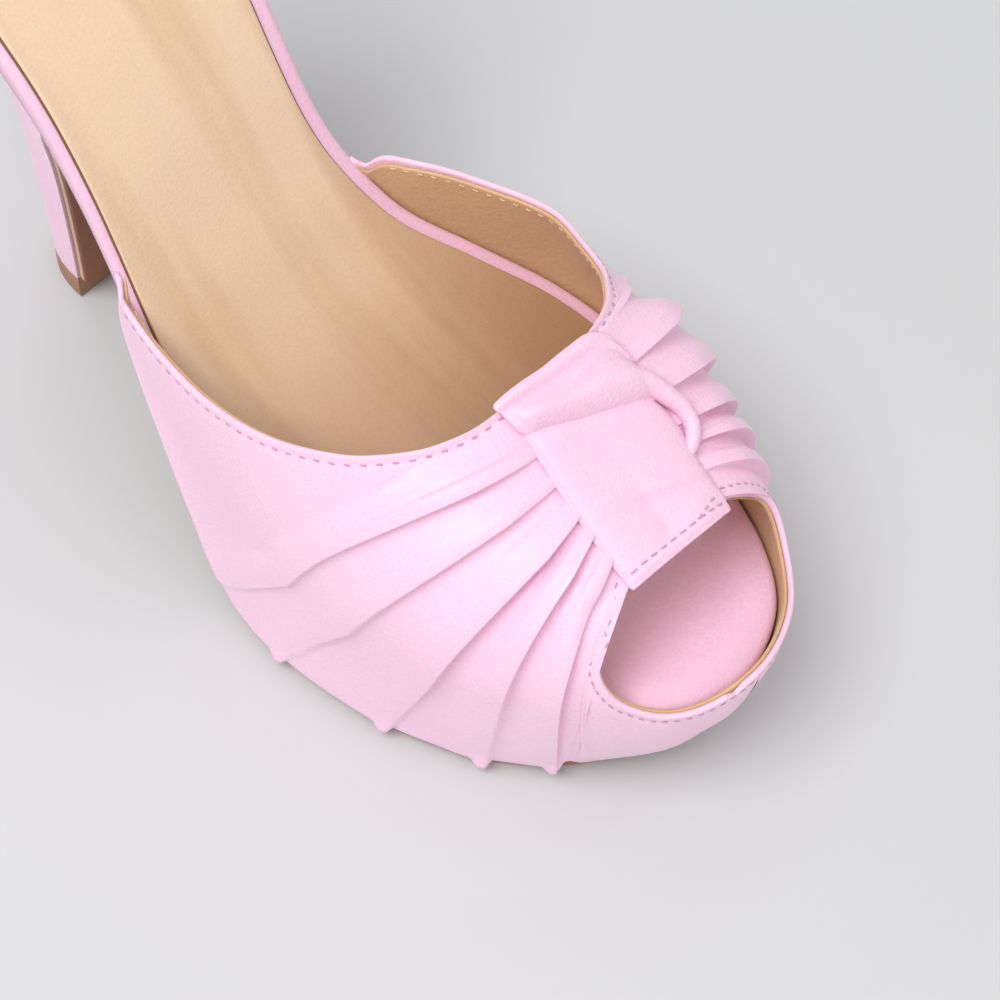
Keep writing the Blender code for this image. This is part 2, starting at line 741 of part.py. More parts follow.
def build_upper(material):
    """The pleated upper, one wall open at the throat, at the peep toe and underneath."""
    places = fan_places()
    per = COLUMN_STEPS + 1
    points = []
    for inner in (False, True):
        for side in (LATERAL, MEDIAL):
            for at in places:
                points += [tuple(point) for point in upper_column(side, at, inner)]

    def number(inner, side, place, step):
        block = (2 if inner else 0) + (1 if side == MEDIAL else 0)
        return (block * len(places) + place) * per + step

    faces = []
    for inner in (False, True):
        for side in (LATERAL, MEDIAL):
            for place in range(len(places) - 1):
                for step in range(COLUMN_STEPS):
                    faces.append((
                        number(inner, side, place, step),
                        number(inner, side, place + 1, step),
                        number(inner, side, place + 1, step + 1),
                        number(inner, side, place, step + 1),
                    ))
    joined = [min(float(fan("lat_top", at)), float(fan("med_top", at))) >= 1.0 for at in places]
    for side in (LATERAL, MEDIAL):
        for place in range(len(places) - 1):
            on_ridge = joined[place] and joined[place + 1]
            for step in (0,) if on_ridge else (0, COLUMN_STEPS):
                faces.append((
                    number(False, side, place, step),
                    number(False, side, place + 1, step),
                    number(True, side, place + 1, step),
                    number(True, side, place, step),
                ))
        for step in range(COLUMN_STEPS):
            faces.append((
                number(False, side, 0, step),
                number(False, side, 0, step + 1),
                number(True, side, 0, step + 1),
                number(True, side, 0, step),
            ))
    return new_solid("upper", points, faces, material, 40)


def band_grid(front, length, thickness):
    """Top and under faces of the knot's band over the dome."""
    top = []
    under = []
    across = np.linspace(-1, 1, KNOT_STEPS_ACROSS + 1)
    for along in np.linspace(0, 1, BAND_STEPS + 1):
        half = BAND_WIDTH * float(table(BAND, BAND_ROWS, "half_width", along))
        crown = thickness * float(table(BAND, BAND_ROWS, "crown", along))
        top_row = []
        under_row = []
        for share in across:
            x = half * share + BAND_SHIFT_SHARE * BAND_WIDTH
            y = front + (length - fold_reach(x)) * along
            z = dome_height(x, y) + FIT_GAP
            round_side = (1 - abs(share) ** KNOT_SIDE_BEND) ** 0.5
            round_end = min(1.0, BAND_LIP_SHARE + BAND_LIP_RISE * along)
            under_row.append((x, y, z))
            cushion = (KNOT_EDGE_SHARE + (1 - KNOT_EDGE_SHARE) * round_side) * round_end
            top_row.append((x, y, z + crown * cushion))
        top.append(top_row)
        under.append(under_row)
    return top, under


def fold_reach(x):
    """How far the rear fold's front edge lies ahead of its back edge at a place across."""
    across = np.clip(x / BAND_WIDTH + 0.5 - BAND_SHIFT_SHARE, 0, 1)
    return FOLD_LENGTH * float(table(FOLD, FOLD_ROWS, "reach", across))


def build_band(material):
    front = BAND_FRONT_SHARE * INSOLE_RUN
    top, under = band_grid(front, BAND_LENGTH + FOLD_LENGTH, BAND_THICKNESS)
    return sheet_between("knot_band", top, under, material)


def build_fold(material):
    """The fold that crosses the back of the knot."""
    back = BAND_FRONT_SHARE * INSOLE_RUN + BAND_LENGTH + FOLD_LENGTH
    top = []
    under = []
    for along in np.linspace(0, 1, FOLD_STEPS + 1):
        top_row = []
        under_row = []
        for across in np.linspace(0, 1, KNOT_STEPS_ACROSS + 1):
            x = BAND_WIDTH * (across - 0.5 + BAND_SHIFT_SHARE)
            y = back - fold_reach(x) * (1 - along) + FIT_GAP
            z = dome_height(x, y) + FIT_GAP
            lift = FOLD_THICKNESS * float(table(FOLD, FOLD_ROWS, "height", across))
            round_end = (1 - (2 * along - 1) ** KNOT_SIDE_BEND) ** 0.5
            round_side = (1 - (2 * across - 1) ** FOLD_SIDE_BEND) ** 0.5
            under_row.append((x, y, z))
            cushion = KNOT_EDGE_SHARE + (1 - KNOT_EDGE_SHARE) * round_end * round_side
            top_row.append((x, y, z + lift * cushion))
        top.append(top_row)
        under.append(under_row)
    return sheet_between("knot_fold", top, under, material)


def build_counter(material):
    """The closed back of the shoe, round the heel seat."""
    outer = []
    inner = []
    reach = UPPER_WALL + LINING_GAP
    for step in range(2 * COUNTER_STEPS + 1):
        around = 1 - abs(step / COUNTER_STEPS - 1)
        side = LATERAL if step < COUNTER_STEPS else MEDIAL
        row = COUNTER_START + (LAST_ROW - COUNTER_START) * math.sin(math.pi / 2 * around)
        height = COUNTER_HEIGHT * float(table(COUNTER, COUNTER_ROWS, "height", around))
        lean = COUNTER_HEIGHT * float(table(COUNTER, COUNTER_ROWS, "lean", around))
        outer_column = []
        inner_column = []
        for rise in np.linspace(0, 1, COUNTER_RISE_STEPS + 1):
            bulge = COUNTER_BULGE_SHARE * UPPER_WALL * math.sin(math.pi * rise)
            offset = reach + bulge - lean * rise ** 2
            x, y = edge(side, row, offset)[0]
            u, v = edge(side, row, offset - UPPER_WALL)[0]
            seat_y = float(edge(side, row)[0][1])
            z = float(insole_bottom(seat_y)) + (INSOLE_THICKNESS + height) * rise
            outer_column.append((x, y, z))
            inner_column.append((u, v, z))
        outer.append(outer_column)
        inner.append(inner_column)
    return sheet_between("counter", outer, inner, material)


def clear_scene():
    for item in list(bpy.data.objects):
        bpy.data.objects.remove(item, do_unlink=True)


def centre_on_floor(solids):
    """Move the shoe so that its box stands centred over the origin."""
    corners = np.array([vert.co for solid in solids for vert in solid.data.vertices])
    low = corners.min(axis=0)
    high = corners.max(axis=0)
    shift = ((low[0] + high[0]) / 2, (low[1] + high[1]) / 2, low[2])
    for solid in solids:
        for vert in solid.data.vertices:
            vert.co.x -= shift[0]
            vert.co.y -= shift[1]
            vert.co.z -= shift[2]


def main():
    clear_scene()
    pink = new_material("pink_leather", (0.88, 0.60, 0.74), 0.45)
    pink_cover = new_material("pink_cover", (0.88, 0.60, 0.74), 0.42)
    tan = new_material("tan_sock", (0.66, 0.44, 0.29), 0.5)
    brown = new_material("brown_outsole", (0.33, 0.11, 0.05), 0.5)
    lift_tan = new_material("lift_rubber", (0.37, 0.21, 0.14), 0.6)
    core = new_material("platform_core", (0.60, 0.50, 0.40), 0.7)
    solids = [
        build_outsole(brown),
        build_platform(core),
        build_insole(pink_cover),
        build_sock(tan),
        build_upper(pink),
        build_band(pink),
        build_fold(pink),
        build_counter(pink),
        build_heel(pink_cover),
        build_lift(lift_tan),
    ]
    centre_on_floor(solids)


main()
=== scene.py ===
"""The looks of the peep toe pump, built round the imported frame. Metres, +Z up, toe
towards -Y, the medial side towards +X. Shapes are worked out in the shoe's own frame,
with y counted from the toe end of the insole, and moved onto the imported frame."""

import math

import bmesh
import bpy
import numpy as np
from mathutils import Matrix, Vector


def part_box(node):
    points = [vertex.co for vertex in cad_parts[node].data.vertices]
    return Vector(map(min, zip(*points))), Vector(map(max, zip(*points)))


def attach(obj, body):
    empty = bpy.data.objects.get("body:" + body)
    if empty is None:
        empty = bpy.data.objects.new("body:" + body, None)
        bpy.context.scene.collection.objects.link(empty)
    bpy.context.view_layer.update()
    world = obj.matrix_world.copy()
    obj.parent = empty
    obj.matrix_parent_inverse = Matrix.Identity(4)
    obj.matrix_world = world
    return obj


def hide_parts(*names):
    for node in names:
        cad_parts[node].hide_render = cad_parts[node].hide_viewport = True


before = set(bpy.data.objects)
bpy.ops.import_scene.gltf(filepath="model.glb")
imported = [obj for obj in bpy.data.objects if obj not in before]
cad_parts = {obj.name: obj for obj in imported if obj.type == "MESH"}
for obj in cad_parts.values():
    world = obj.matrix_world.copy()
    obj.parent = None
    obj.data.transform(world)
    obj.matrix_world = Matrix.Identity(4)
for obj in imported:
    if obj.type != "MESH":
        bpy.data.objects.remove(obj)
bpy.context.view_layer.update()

# Driving sizes of the frame
INSOLE_RUN = 0.205
BALL_WIDTH = 0.0834
HEEL_RISE = 0.0876
FOREPART_HEIGHT = 0.0349
VAMP_HEIGHT = 0.0436
COUNTER_HEIGHT = 0.050
INSOLE_THICKNESS = 0.005
SOCK_THICKNESS = 0.0013
UPPER_WALL = 0.0018
OUTSOLE_THICKNESS = 0.0028
BREAST_THICKNESS = 0.0016
LIFT_THICKNESS = 0.006
TIP_WIDTH = 0.0235
TIP_DEPTH = 0.0155
FIT_GAP = 0.0003
LINING_GAP = 0.0005
FOOT_GAP = 0.0005
SOLE_INSET = 0.0016
SOCK_MARGIN_LATERAL = 0.0021
SOCK_MARGIN_MEDIAL = 0.0040

# Shares that place one feature on another
FEATHER_SHARE = 0.36
DOME_CENTRE_SHARE = 0.117
DOME_FULLNESS = 2.3
SHOULDER_FOOT = 0.36
SHOULDER_TOP = 0.63
HEEL_SQUARENESS = 2.15
HEEL_SIDE_BEND = 0.6
HEEL_BREAST_SHARE = 0.722
TIP_FRONT_SHARE = 0.822
COUNTER_START = 11.15
SOCK_START = 4.6
PLATFORM_END = 8.15
SHANK_END = 9.9

# Insole edge: share of the run, then half widths as shares of the ball width
EDGE = ("run", "lateral", "medial")
EDGE_ROWS = (
    (0.000, 0.000, 0.000),
    (0.018, 0.158, 0.163),
    (0.073, 0.276, 0.295),
    (0.149, 0.385, 0.387),
    (0.229, 0.452, 0.466),
    (0.317, 0.487, 0.513),
    (0.395, 0.486, 0.492),
    (0.473, 0.457, 0.414),
    (0.551, 0.420, 0.312),
    (0.629, 0.372, 0.258),
    (0.707, 0.342, 0.279),
    (0.790, 0.336, 0.315),
    (0.878, 0.335, 0.330),
    (0.946, 0.288, 0.288),
    (0.988, 0.168, 0.168),
    (1.000, 0.000, 0.000),
)

# Top of the insole: share of the run, rise above the forepart as a share of the heel rise
RISE = ("run", "rise")
RISE_ROWS = (
    (0.000, 0.045),
    (0.034, 0.040),
    (0.107, 0.010),
    (0.229, 0.000),
    (0.337, 0.026),
    (0.415, 0.056),
    (0.473, 0.095),
    (0.532, 0.155),
    (0.595, 0.277),
    (0.668, 0.484),
    (0.741, 0.664),
    (0.815, 0.803),
    (0.888, 0.902),
    (0.951, 0.965),
    (1.000, 1.000),
)

# Underside of the outsole: share of the run, height as a share of the forepart height
GROUND = ("run", "height")
GROUND_ROWS = (
    (-0.020, 0.250),
    (0.020, 0.150),
    (0.060, 0.070),
    (0.120, 0.012),
    (0.180, 0.000),
    (0.400, 0.000),
    (0.430, 0.040),
    (0.465, 0.240),
    (0.500, 0.570),
    (0.550, 1.040),
    (0.610, 1.560),
    (0.670, 2.150),
    (0.800, 3.600),
)

# How far the upper's lower edge lies inside its feather line, as a share of the ball width
TUCK = ("run", "inset")
TUCK_ROWS = (
    (-0.020, 0.095),
    (0.030, 0.085),
    (0.080, 0.052),
    (0.150, 0.020),
    (0.230, 0.000),
    (0.320, -0.014),
    (0.470, -0.022),
    (0.560, -0.010),
    (0.620, 0.000),
)

# Medial shoulder of the upper: edge row, share of its width by which it draws in
SHOULDER = ("row", "narrowing")
SHOULDER_ROWS = (
    (0.0, 0.000),
    (4.2, 0.000),
    (4.8, 0.170),
    (5.4, 0.165),
    (6.2, 0.080),
    (7.4, 0.000),
    (9.0, 0.000),
)

# Ridge of the upper: share of the run, height above the forepart as a share of the vamp height
RIDGE = ("run", "height")
RIDGE_ROWS = (
    (0.000, 0.160),
    (0.060, 0.420),
    (0.117, 0.580),
    (0.190, 0.760),
    (0.268, 1.000),
    (0.350, 1.260),
    (0.450, 1.550),
    (0.620, 2.100),
)

# Columns of the upper, wing tip to toe: for each side the edge row where the column
# starts, the row that it ends on and how high up it ends (1 is the ridge)
FAN = ("lat_start", "lat_end", "lat_top", "med_start", "med_end", "med_top")
FAN_ROWS = (
    (8.92, 8.92, 0.335, 8.52, 8.52, 0.330),
    (8.76, 8.60, 0.375, 8.36, 8.20, 0.380),
    (8.60, 7.96, 0.422, 8.20, 7.62, 0.425),
    (8.44, 7.06, 0.475, 8.04, 6.90, 0.455),
    (8.28, 6.30, 0.535, 7.88, 6.15, 0.500),
    (8.12, 5.65, 0.600, 7.72, 5.55, 0.550),
    (7.94, 5.08, 0.675, 7.55, 5.05, 0.625),
    (7.74, 4.62, 0.780, 7.36, 4.65, 0.750),
    (7.52, 4.42, 0.865, 7.12, 4.46, 0.840),
    (7.28, 4.34, 0.940, 6.86, 4.34, 0.920),
    (7.02, 4.25, 1.000, 6.55, 4.25, 1.000),
    (6.88, 3.80, 1.000, 5.60, 3.80, 1.000),
    (5.62, 3.45, 1.000, 4.60, 3.45, 1.000),
    (4.20, 3.12, 1.000, 3.80, 3.12, 1.000),
    (3.05, 2.92, 1.000, 3.05, 2.92, 1.000),
    (2.28, 2.60, 1.000, 2.50, 2.60, 1.000),
    (2.20, 2.16, 1.000, 2.25, 2.16, 1.000),
    (2.14, 2.16, 0.925, 2.18, 2.16, 0.925),
    (2.10, 2.18, 0.845, 2.12, 2.12, 0.830),
    (2.03, 2.31, 0.730, 2.02, 2.16, 0.720),
    (1.95, 2.27, 0.650, 1.92, 2.15, 0.640),
    (1.82, 2.18, 0.575, 1.80, 2.10, 0.565),
    (1.62, 2.02, 0.485, 1.60, 1.95, 0.480),
    (1.30, 1.70, 0.410, 1.30, 1.65, 0.415),
    (0.95, 1.30, 0.378, 0.95, 1.25, 0.390),
    (0.60, 0.80, 0.385, 0.60, 0.75, 0.395),
    (0.30, 0.35, 0.402, 0.30, 0.35, 0.402),
    (0.00, 0.00, 0.408, 0.00, 0.00, 0.408),
)

# How strongly the columns curve on their way up, over the fan's rows
BEND = ("row", "bend")
BEND_ROWS = (
    (0.0, 1.30),
    (7.0, 1.30),
    (8.0, 1.40),
    (9.0, 1.50),
    (10.0, 1.60),
    (11.0, 1.30),
    (27.0, 1.30),
)

# Heel block, tip to seat: share of the height, shares of the way from the tip's outline
# to the seat's outline at the front face and at the back
HEEL = ("height", "breast", "back")
HEEL_ROWS = (
    (0.00, 0.000, 0.000),
    (0.15, 0.060, 0.015),
    (0.35, 0.190, 0.045),
    (0.55, 0.370, 0.105),
    (0.75, 0.620, 0.250),
    (0.90, 0.860, 0.580),
    (1.00, 1.000, 1.000),
)

# Counter: how far round from a front end to the back, height and lean as shares
COUNTER = ("around", "height", "lean")
COUNTER_ROWS = (
    (0.00, 0.170, 0.000),
    (0.15, 0.380, 0.010),
    (0.35, 0.740, 0.045),
    (0.55, 0.915, 0.070),
    (0.75, 0.985, 0.085),
    (1.00, 1.000, 0.090),
)

# Pleats of the upper. Each has the fan row of its ridge line, how far back from the line
# it starts to rise, the heights of its relief at the lower edge, half way up and near the
# knot, the rows over which it drops on the toe side, how far the ridge leans over towards
# the toe, and how far the lobe at its lower end stands out. Lengths are in metres
PLEAT = ("line", "back", "foot", "middle", "top", "drop", "lean", "lobe")
LATERAL_PLEATS = (
    (11.15, 0.015, 0.0005, 0.0015, 0.0022, 0.15, 0.0008, 0.0),
    (12.0, 0.011, 0.0004, 0.0018, 0.0024, 0.15, 0.0009, 0.0010),
    (13.0, 0.012, 0.0005, 0.0023, 0.0032, 0.13, 0.0014, 0.0012),
    (14.0, 0.011, 0.0005, 0.0020, 0.0031, 0.17, 0.0012, 0.0014),
    (15.0, 0.009, 0.0005, 0.0018, 0.0029, 0.17, 0.0011, 0.0013),
)
MEDIAL_PLEATS = (
    (10.0, 0.012, 0.0006, 0.0015, 0.0016, 0.22, 0.0005, 0.0),
    (11.0, 0.012, 0.0014, 0.0026, 0.0030, 0.16, 0.0012, 0.0008),
    (12.0, 0.010, 0.0015, 0.0028, 0.0032, 0.15, 0.0012, 0.0008),
    (13.0, 0.010, 0.0015, 0.0028, 0.0032, 0.16, 0.0012, 0.0008),
    (14.0, 0.010, 0.0014, 0.0026, 0.0030, 0.18, 0.0011, 0.0008),
    (15.0, 0.009, 0.0012, 0.0020, 0.0026, 0.20, 0.0010, 0.0006),
)
LATERAL_HEIGHTS = (0.0, 0.42, 0.78, 0.88, 0.94)
MEDIAL_HEIGHTS = (0.0, 0.42, 0.70, 0.79, 0.86)
PLEAT_NEAR = (
    -0.42, -0.32, -0.25, -0.19, -0.14, -0.10, -0.07, -0.045, -0.028, -0.014, 0.0,
    0.014, 0.028, 0.045, 0.07, 0.10, 0.13, 0.16, 0.20, 0.25, 0.31, 0.38, 0.46,
)

# Make of the leathers, threads and edges
SKIN = 0.0010
LINING_TOP = 0.00105
LINING_STEP = 0.00015
STITCH_INSET = 0.0014
PEEP_INSET = 0.0016
STITCH_PITCH = 0.0028
PEEP_PITCH = 0.0022
STITCH_LENGTH = 0.0012
THREAD = 0.00017
UPPER_STEPS = 58
WING_TAPER = 0.0021
WING_ROWS = 1.6
STITCH_TROUGH = 0.00045
PUFF_HEIGHT = 0.00014
CUT_STEP = 0.0003
SEAM_STEP = 0.0006
KNOT_LIFT = 0.0004
NOTCH_PLACE = 25.85
NOTCH_ROWS = 0.34
NOTCH_DEPTH = 0.0021
OPEN_BEFORE = 10
OPEN_AFTER = 16

LATERAL = -1
MEDIAL = 1
LAST_ROW = len(EDGE_ROWS) - 1
LAST_FAN = len(FAN_ROWS) - 1

lift_low, lift_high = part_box("top_lift")
ORIGIN = np.array(((lift_low[0] + lift_high[0]) / 2, lift_low[1] - TIP_FRONT_SHARE * INSOLE_RUN, 0.0))


# Shape of the shoe

def column(names, rows, name):
    """One named column of a table."""
    place = names.index(name)
    return np.array([row[place] for row in rows])


def read_smooth(xs, ys, x):
    """Monotone cubic through (xs, ys), held level past both ends."""
    step = np.diff(xs)
    rate = np.diff(ys) / step
    slope = np.concatenate(([rate[0]], np.zeros(len(xs) - 2), [rate[-1]]))
    for i in range(1, len(xs) - 1):
        if rate[i - 1] * rate[i] > 0:
            before = 2 * step[i] + step[i - 1]
            after = step[i] + 2 * step[i - 1]
            slope[i] = (before + after) / (before / rate[i - 1] + after / rate[i])
    x = np.clip(x, xs[0], xs[-1])
    i = np.clip(np.searchsorted(xs, x) - 1, 0, len(step) - 1)
    t = (x - xs[i]) / step[i]
    rising = t * t * (3 - 2 * t)
    leaving = t * (1 - t) ** 2 * step[i]
    arriving = t * t * (t - 1) * step[i]
    return (1 - rising) * ys[i] + rising * ys[i + 1] + leaving * slope[i] + arriving * slope[i + 1]


def table(names, rows, name, at):
    """A named column read smoothly at a value of the table's first column."""
    return read_smooth(column(names, rows, names[0]), column(names, rows, name), at)


def hermite(points, tangent, i, t, gap):
    """Places on a curve through points with given tangents, at shares t of its spans i."""
    return (
        (1 + 2 * t) * (1 - t) ** 2 * points[i]
        + t * t * (3 - 2 * t) * points[i + 1]
        + t * (1 - t) ** 2 * gap * tangent[i]
        + t * t * (t - 1) * gap * tangent[i + 1]
    )


def fan(name, at):
    """A named column of the fan, read at a row number."""
    return read_smooth(np.arange(len(FAN_ROWS), dtype=float), column(FAN, FAN_ROWS, name), at)


def insole_top(y):
    return FOREPART_HEIGHT + HEEL_RISE * table(RISE, RISE_ROWS, "rise", y / INSOLE_RUN)


def insole_bottom(y):
    return insole_top(y) - INSOLE_THICKNESS


def sole_bottom(y):
    ground = FOREPART_HEIGHT * table(GROUND, GROUND_ROWS, "height", y / INSOLE_RUN)
    return np.minimum(ground, insole_bottom(y) - FIT_GAP - OUTSOLE_THICKNESS)


def sole_top(y):
    return sole_bottom(y) + OUTSOLE_THICKNESS


def upper_foot(y):
    return sole_top(y) + FOOT_GAP


def ridge_height(y):
    return FOREPART_HEIGHT + VAMP_HEIGHT * table(RIDGE, RIDGE_ROWS, "height", y / INSOLE_RUN)


def row_run(row):
    at = np.arange(len(EDGE_ROWS), dtype=float)
    return INSOLE_RUN * read_smooth(at, column(EDGE, EDGE_ROWS, "run"), row)


def row_ridge(row):
    centre = DOME_CENTRE_SHARE * INSOLE_RUN
    return (row_run(row) ** 3 + centre ** 3) ** (1 / 3)


def edge(side, row, offset=0.0):
    """Plan points on the insole's edge at row numbers, moved outwards by offset."""
    row = np.atleast_1d(np.asarray(row, float))
    near, far = ("lateral", "medial") if side == LATERAL else ("medial", "lateral")
    run = column(EDGE, EDGE_ROWS, "run") * INSOLE_RUN
    own = np.stack([side * column(EDGE, EDGE_ROWS, near) * BALL_WIDTH, run], 1)
    other = np.stack([-side * column(EDGE, EDGE_ROWS, far) * BALL_WIDTH, run], 1)
    points = np.concatenate([other[[2, 1]], own, other[[-2, -3]]])
    knots = arc_lengths(points)
    rate = np.diff(points, axis=0) / np.diff(knots)[:, None]
    weight = (np.diff(knots)[1:] / (knots[2:] - knots[:-2]))[:, None]
    tangent = np.zeros_like(points)
    tangent[1:-1] = rate[:-1] * weight + rate[1:] * (1 - weight)
    i = np.clip(row.astype(int), 0, LAST_ROW - 1) + 2
    t = (row - (i - 2))[:, None]
    gap = np.diff(knots)[i][:, None]
    place = hermite(points, tangent, i, t, gap)
    way = (
        6 * t * (t - 1) * (points[i] - points[i + 1]) / gap
        + (3 * t * t - 4 * t + 1) * tangent[i]
        + (3 * t * t - 2 * t) * tangent[i + 1]
    )
    way /= np.linalg.norm(way, axis=1)[:, None]
    outward = np.stack([way[:, 1], -way[:, 0]], 1) * side
    return place + np.reshape(offset, (-1, 1)) * outward


def tuck(y):
    """How far the upper's lower edge lies inside its feather line."""
    return BALL_WIDTH * table(TUCK, TUCK_ROWS, "inset", y / INSOLE_RUN)


def shoulder(row, height):
    """Share by which the medial shoulder draws in, over edge rows and heights."""
    above = np.clip((height - SHOULDER_FOOT) / (SHOULDER_TOP - SHOULDER_FOOT), 0, 1)
    return table(SHOULDER, SHOULDER_ROWS, "narrowing", row) * above * above * (3 - 2 * above)


def upper_point(side, row, height, grow=0.0):
    """Outer face of the upper. height runs from 0 at the lower edge to 1 on the ridge."""
    row, height = np.broadcast_arrays(np.atleast_1d(np.asarray(row, float)), np.asarray(height, float))
    reach = UPPER_WALL + LINING_GAP + grow
    feather = edge(side, row, reach)
    feather_y = np.maximum(feather[:, 1], 0)
    foot = edge(side, row, reach - tuck(feather[:, 1]))
    feather_z = insole_top(feather_y)
    foot_z = np.minimum(upper_foot(foot[:, 1]), feather_z - FIT_GAP)
    ridge_y = row_ridge(row)
    ridge_z = ridge_height(ridge_y) + grow
    drop = 1 - np.clip(height / FEATHER_SHARE, 0, 1)
    turn = np.clip((height - FEATHER_SHARE) / (1 - FEATHER_SHARE), 0, 1) * math.pi / 2
    rise = np.sin(turn) ** (2 / DOME_FULLNESS)
    close = 1 - np.abs(np.cos(turn)) ** (2 / DOME_FULLNESS)
    close = np.where(height >= 1, 1.0, close)
    ridge = np.stack([np.zeros_like(ridge_y), ridge_y], 1)
    point = np.empty((len(row), 3))
    point[:, :2] = feather + (foot - feather) * (drop ** 2)[:, None] + (ridge - feather) * close[:, None]
    point[:, 2] = feather_z + (foot_z - feather_z) * drop + (ridge_z - feather_z) * rise
    if side == MEDIAL:
        point[:, 0] *= 1 - shoulder(row, height)
    return point


def dome(x, y):
    """Height of the upper's outer face over plan points near the ridge."""
    x, y = np.broadcast_arrays(np.asarray(x, float), np.asarray(y, float))
    result = np.zeros(x.shape)
    for side in (LATERAL, MEDIAL):
        chosen = (x < 0) if side == LATERAL else (x >= 0)
        if not chosen.any():
            continue
        across = np.maximum(np.abs(x[chosen]), FIT_GAP)
        along = y[chosen]
        low = np.zeros(len(across))
        high = np.full(len(across), 6.0)
        for _ in range(34):
            row = (low + high) / 2
            feather = edge(side, row, UPPER_WALL + LINING_GAP)
            close = 1 - np.minimum(across / np.maximum(np.abs(feather[:, 0]), FIT_GAP / 10), 1.0)
            under = feather[:, 1] + (row_ridge(row) - feather[:, 1]) * close < along
            low = np.where(under, row, low)
            high = np.where(under, high, row)
        feather_z = insole_top(np.maximum(feather[:, 1], 0))
        turn = np.arccos(np.minimum((1 - close) ** (DOME_FULLNESS / 2), 1.0))
        ridge_z = ridge_height(row_ridge(row))
        result[chosen] = feather_z + (ridge_z - feather_z) * np.sin(turn) ** (2 / DOME_FULLNESS)
    return result


# Mesh helpers

def unit(v):
    return v / np.maximum(np.linalg.norm(v, axis=-1, keepdims=True), 1e-12)


def smooth_step(t):
    t = np.clip(t, 0, 1)
    return t * t * (3 - 2 * t)


def make_mesh(name, points, faces, material, slot=None, replaces=(), sharp=None):
    """A closed piece in the shoe's own frame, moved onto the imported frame."""
    mesh = bpy.data.meshes.new(name)
    points = np.asarray(points, float) + ORIGIN
    clean = [face for face in faces if len(set(face)) > 2]
    mesh.from_pydata(points.tolist(), [], clean)
    work = bmesh.new()
    work.from_mesh(mesh)
    bmesh.ops.remove_doubles(work, verts=work.verts, dist=2e-6)
    bmesh.ops.dissolve_degenerate(work, dist=1e-7, edges=work.edges)
    bmesh.ops.recalc_face_normals(work, faces=work.faces)
    if work.calc_volume(signed=True) < 0:
        bmesh.ops.reverse_faces(work, faces=work.faces)
    work.to_mesh(mesh)
    work.free()
    mesh.materials.append(material)
    mesh.shade_smooth()
    if sharp:
        mesh.set_sharp_from_angle(angle=math.radians(sharp))
    piece = bpy.data.objects.new(name, mesh)
    bpy.context.scene.collection.objects.link(piece)
    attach(piece, "root")
    if replaces:
        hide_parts(*replaces)
    return piece


class Builder:
    """Collects points and faces of one piece."""

    def __init__(self):
        self.points = []
        self.faces = []
        self.count = 0

    def add(self, points):
        points = np.asarray(points, float).reshape(-1, 3)
        start = self.count
        self.points.append(points)
        self.count += len(points)
        return np.arange(start, self.count)

    def quads(self, a, b):
        """Faces between two rows of point numbers of equal length."""
        for i in range(len(a) - 1):
            self.faces.append((int(a[i]), int(a[i + 1]), int(b[i + 1]), int(b[i])))

    def grid(self, numbers):
        for r in range(len(numbers) - 1):
            self.quads(numbers[r], numbers[r + 1])

    def loft(self, rings):
        """A closed skin over rings of point numbers, with a face on each end."""
        for one, two in zip(rings, rings[1:]):
            self.quads(np.append(one, one[0]), np.append(two, two[0]))
        self.faces.append(tuple(int(n) for n in rings[0]))
        self.faces.append(tuple(int(n) for n in rings[-1]))

    def rim(self, outer, inner, away, steps):
        """A half round edge from a loop of outer points to a loop of inner points."""
        all_points = np.concatenate(self.points)
        o = all_points[outer]
        i = all_points[inner]
        across = (o - i) / 2
        middle = (o + i) / 2
        radius = np.linalg.norm(across, axis=1, keepdims=True)
        flat = unit(across)
        away = unit(away - flat * (away * flat).sum(1, keepdims=True))
        last = outer
        for k in range(1, steps):
            turn = math.pi * k / steps
            ring = middle + across * math.cos(turn) + away * radius * math.sin(turn)
            numbers = self.add(ring)
            self.quads(last, numbers)
            last = numbers
        self.quads(last, inner)

    def make(self, name, material, **rest):
        return make_mesh(name, np.concatenate(self.points), self.faces, material, **rest)


def sheet(name, outer, inner, material, steps, **rest):
    """A closed sheet between two grids of points, with half round borders."""
    outer = np.asarray(outer)
    inner = np.asarray(inner)
    rows, cols = outer.shape[:2]
    build = Builder()
    a = build.add(outer).reshape(rows, cols)
    b = build.add(inner).reshape(rows, cols)
    build.grid(a)
    build.grid(b)
    border = [(0, c) for c in range(cols)]
    border += [(r, cols - 1) for r in range(1, rows)]
    border += [(rows - 1, c) for c in range(cols - 2, -1, -1)]
    border += [(r, 0) for r in range(rows - 2, -1, -1)]
    r = np.array([place[0] for place in border])
    c = np.array([place[1] for place in border])
    away = outer[r, c] - outer[np.clip(r, 1, rows - 2), np.clip(c, 1, cols - 2)]
    build.rim(a[r, c], b[r, c], away, steps)
    return build.make(name, material, **rest)


def arc_lengths(line):
    """Length along a line up to each of its points."""
    return np.concatenate([[0.0], np.cumsum(np.linalg.norm(np.diff(line, axis=0), axis=1))])


def walk(line, pitch):
    """Places evenly spaced along a line: positions as fractional point numbers."""
    lengths = arc_lengths(line)
    goals = pitch * (np.arange(int(lengths[-1] / pitch)) + 0.5)
    return np.interp(goals, lengths, np.arange(len(line)))


def read_line(line, at):
    return np.stack([np.interp(at, np.arange(len(line)), line[:, k]) for k in range(3)], 1)


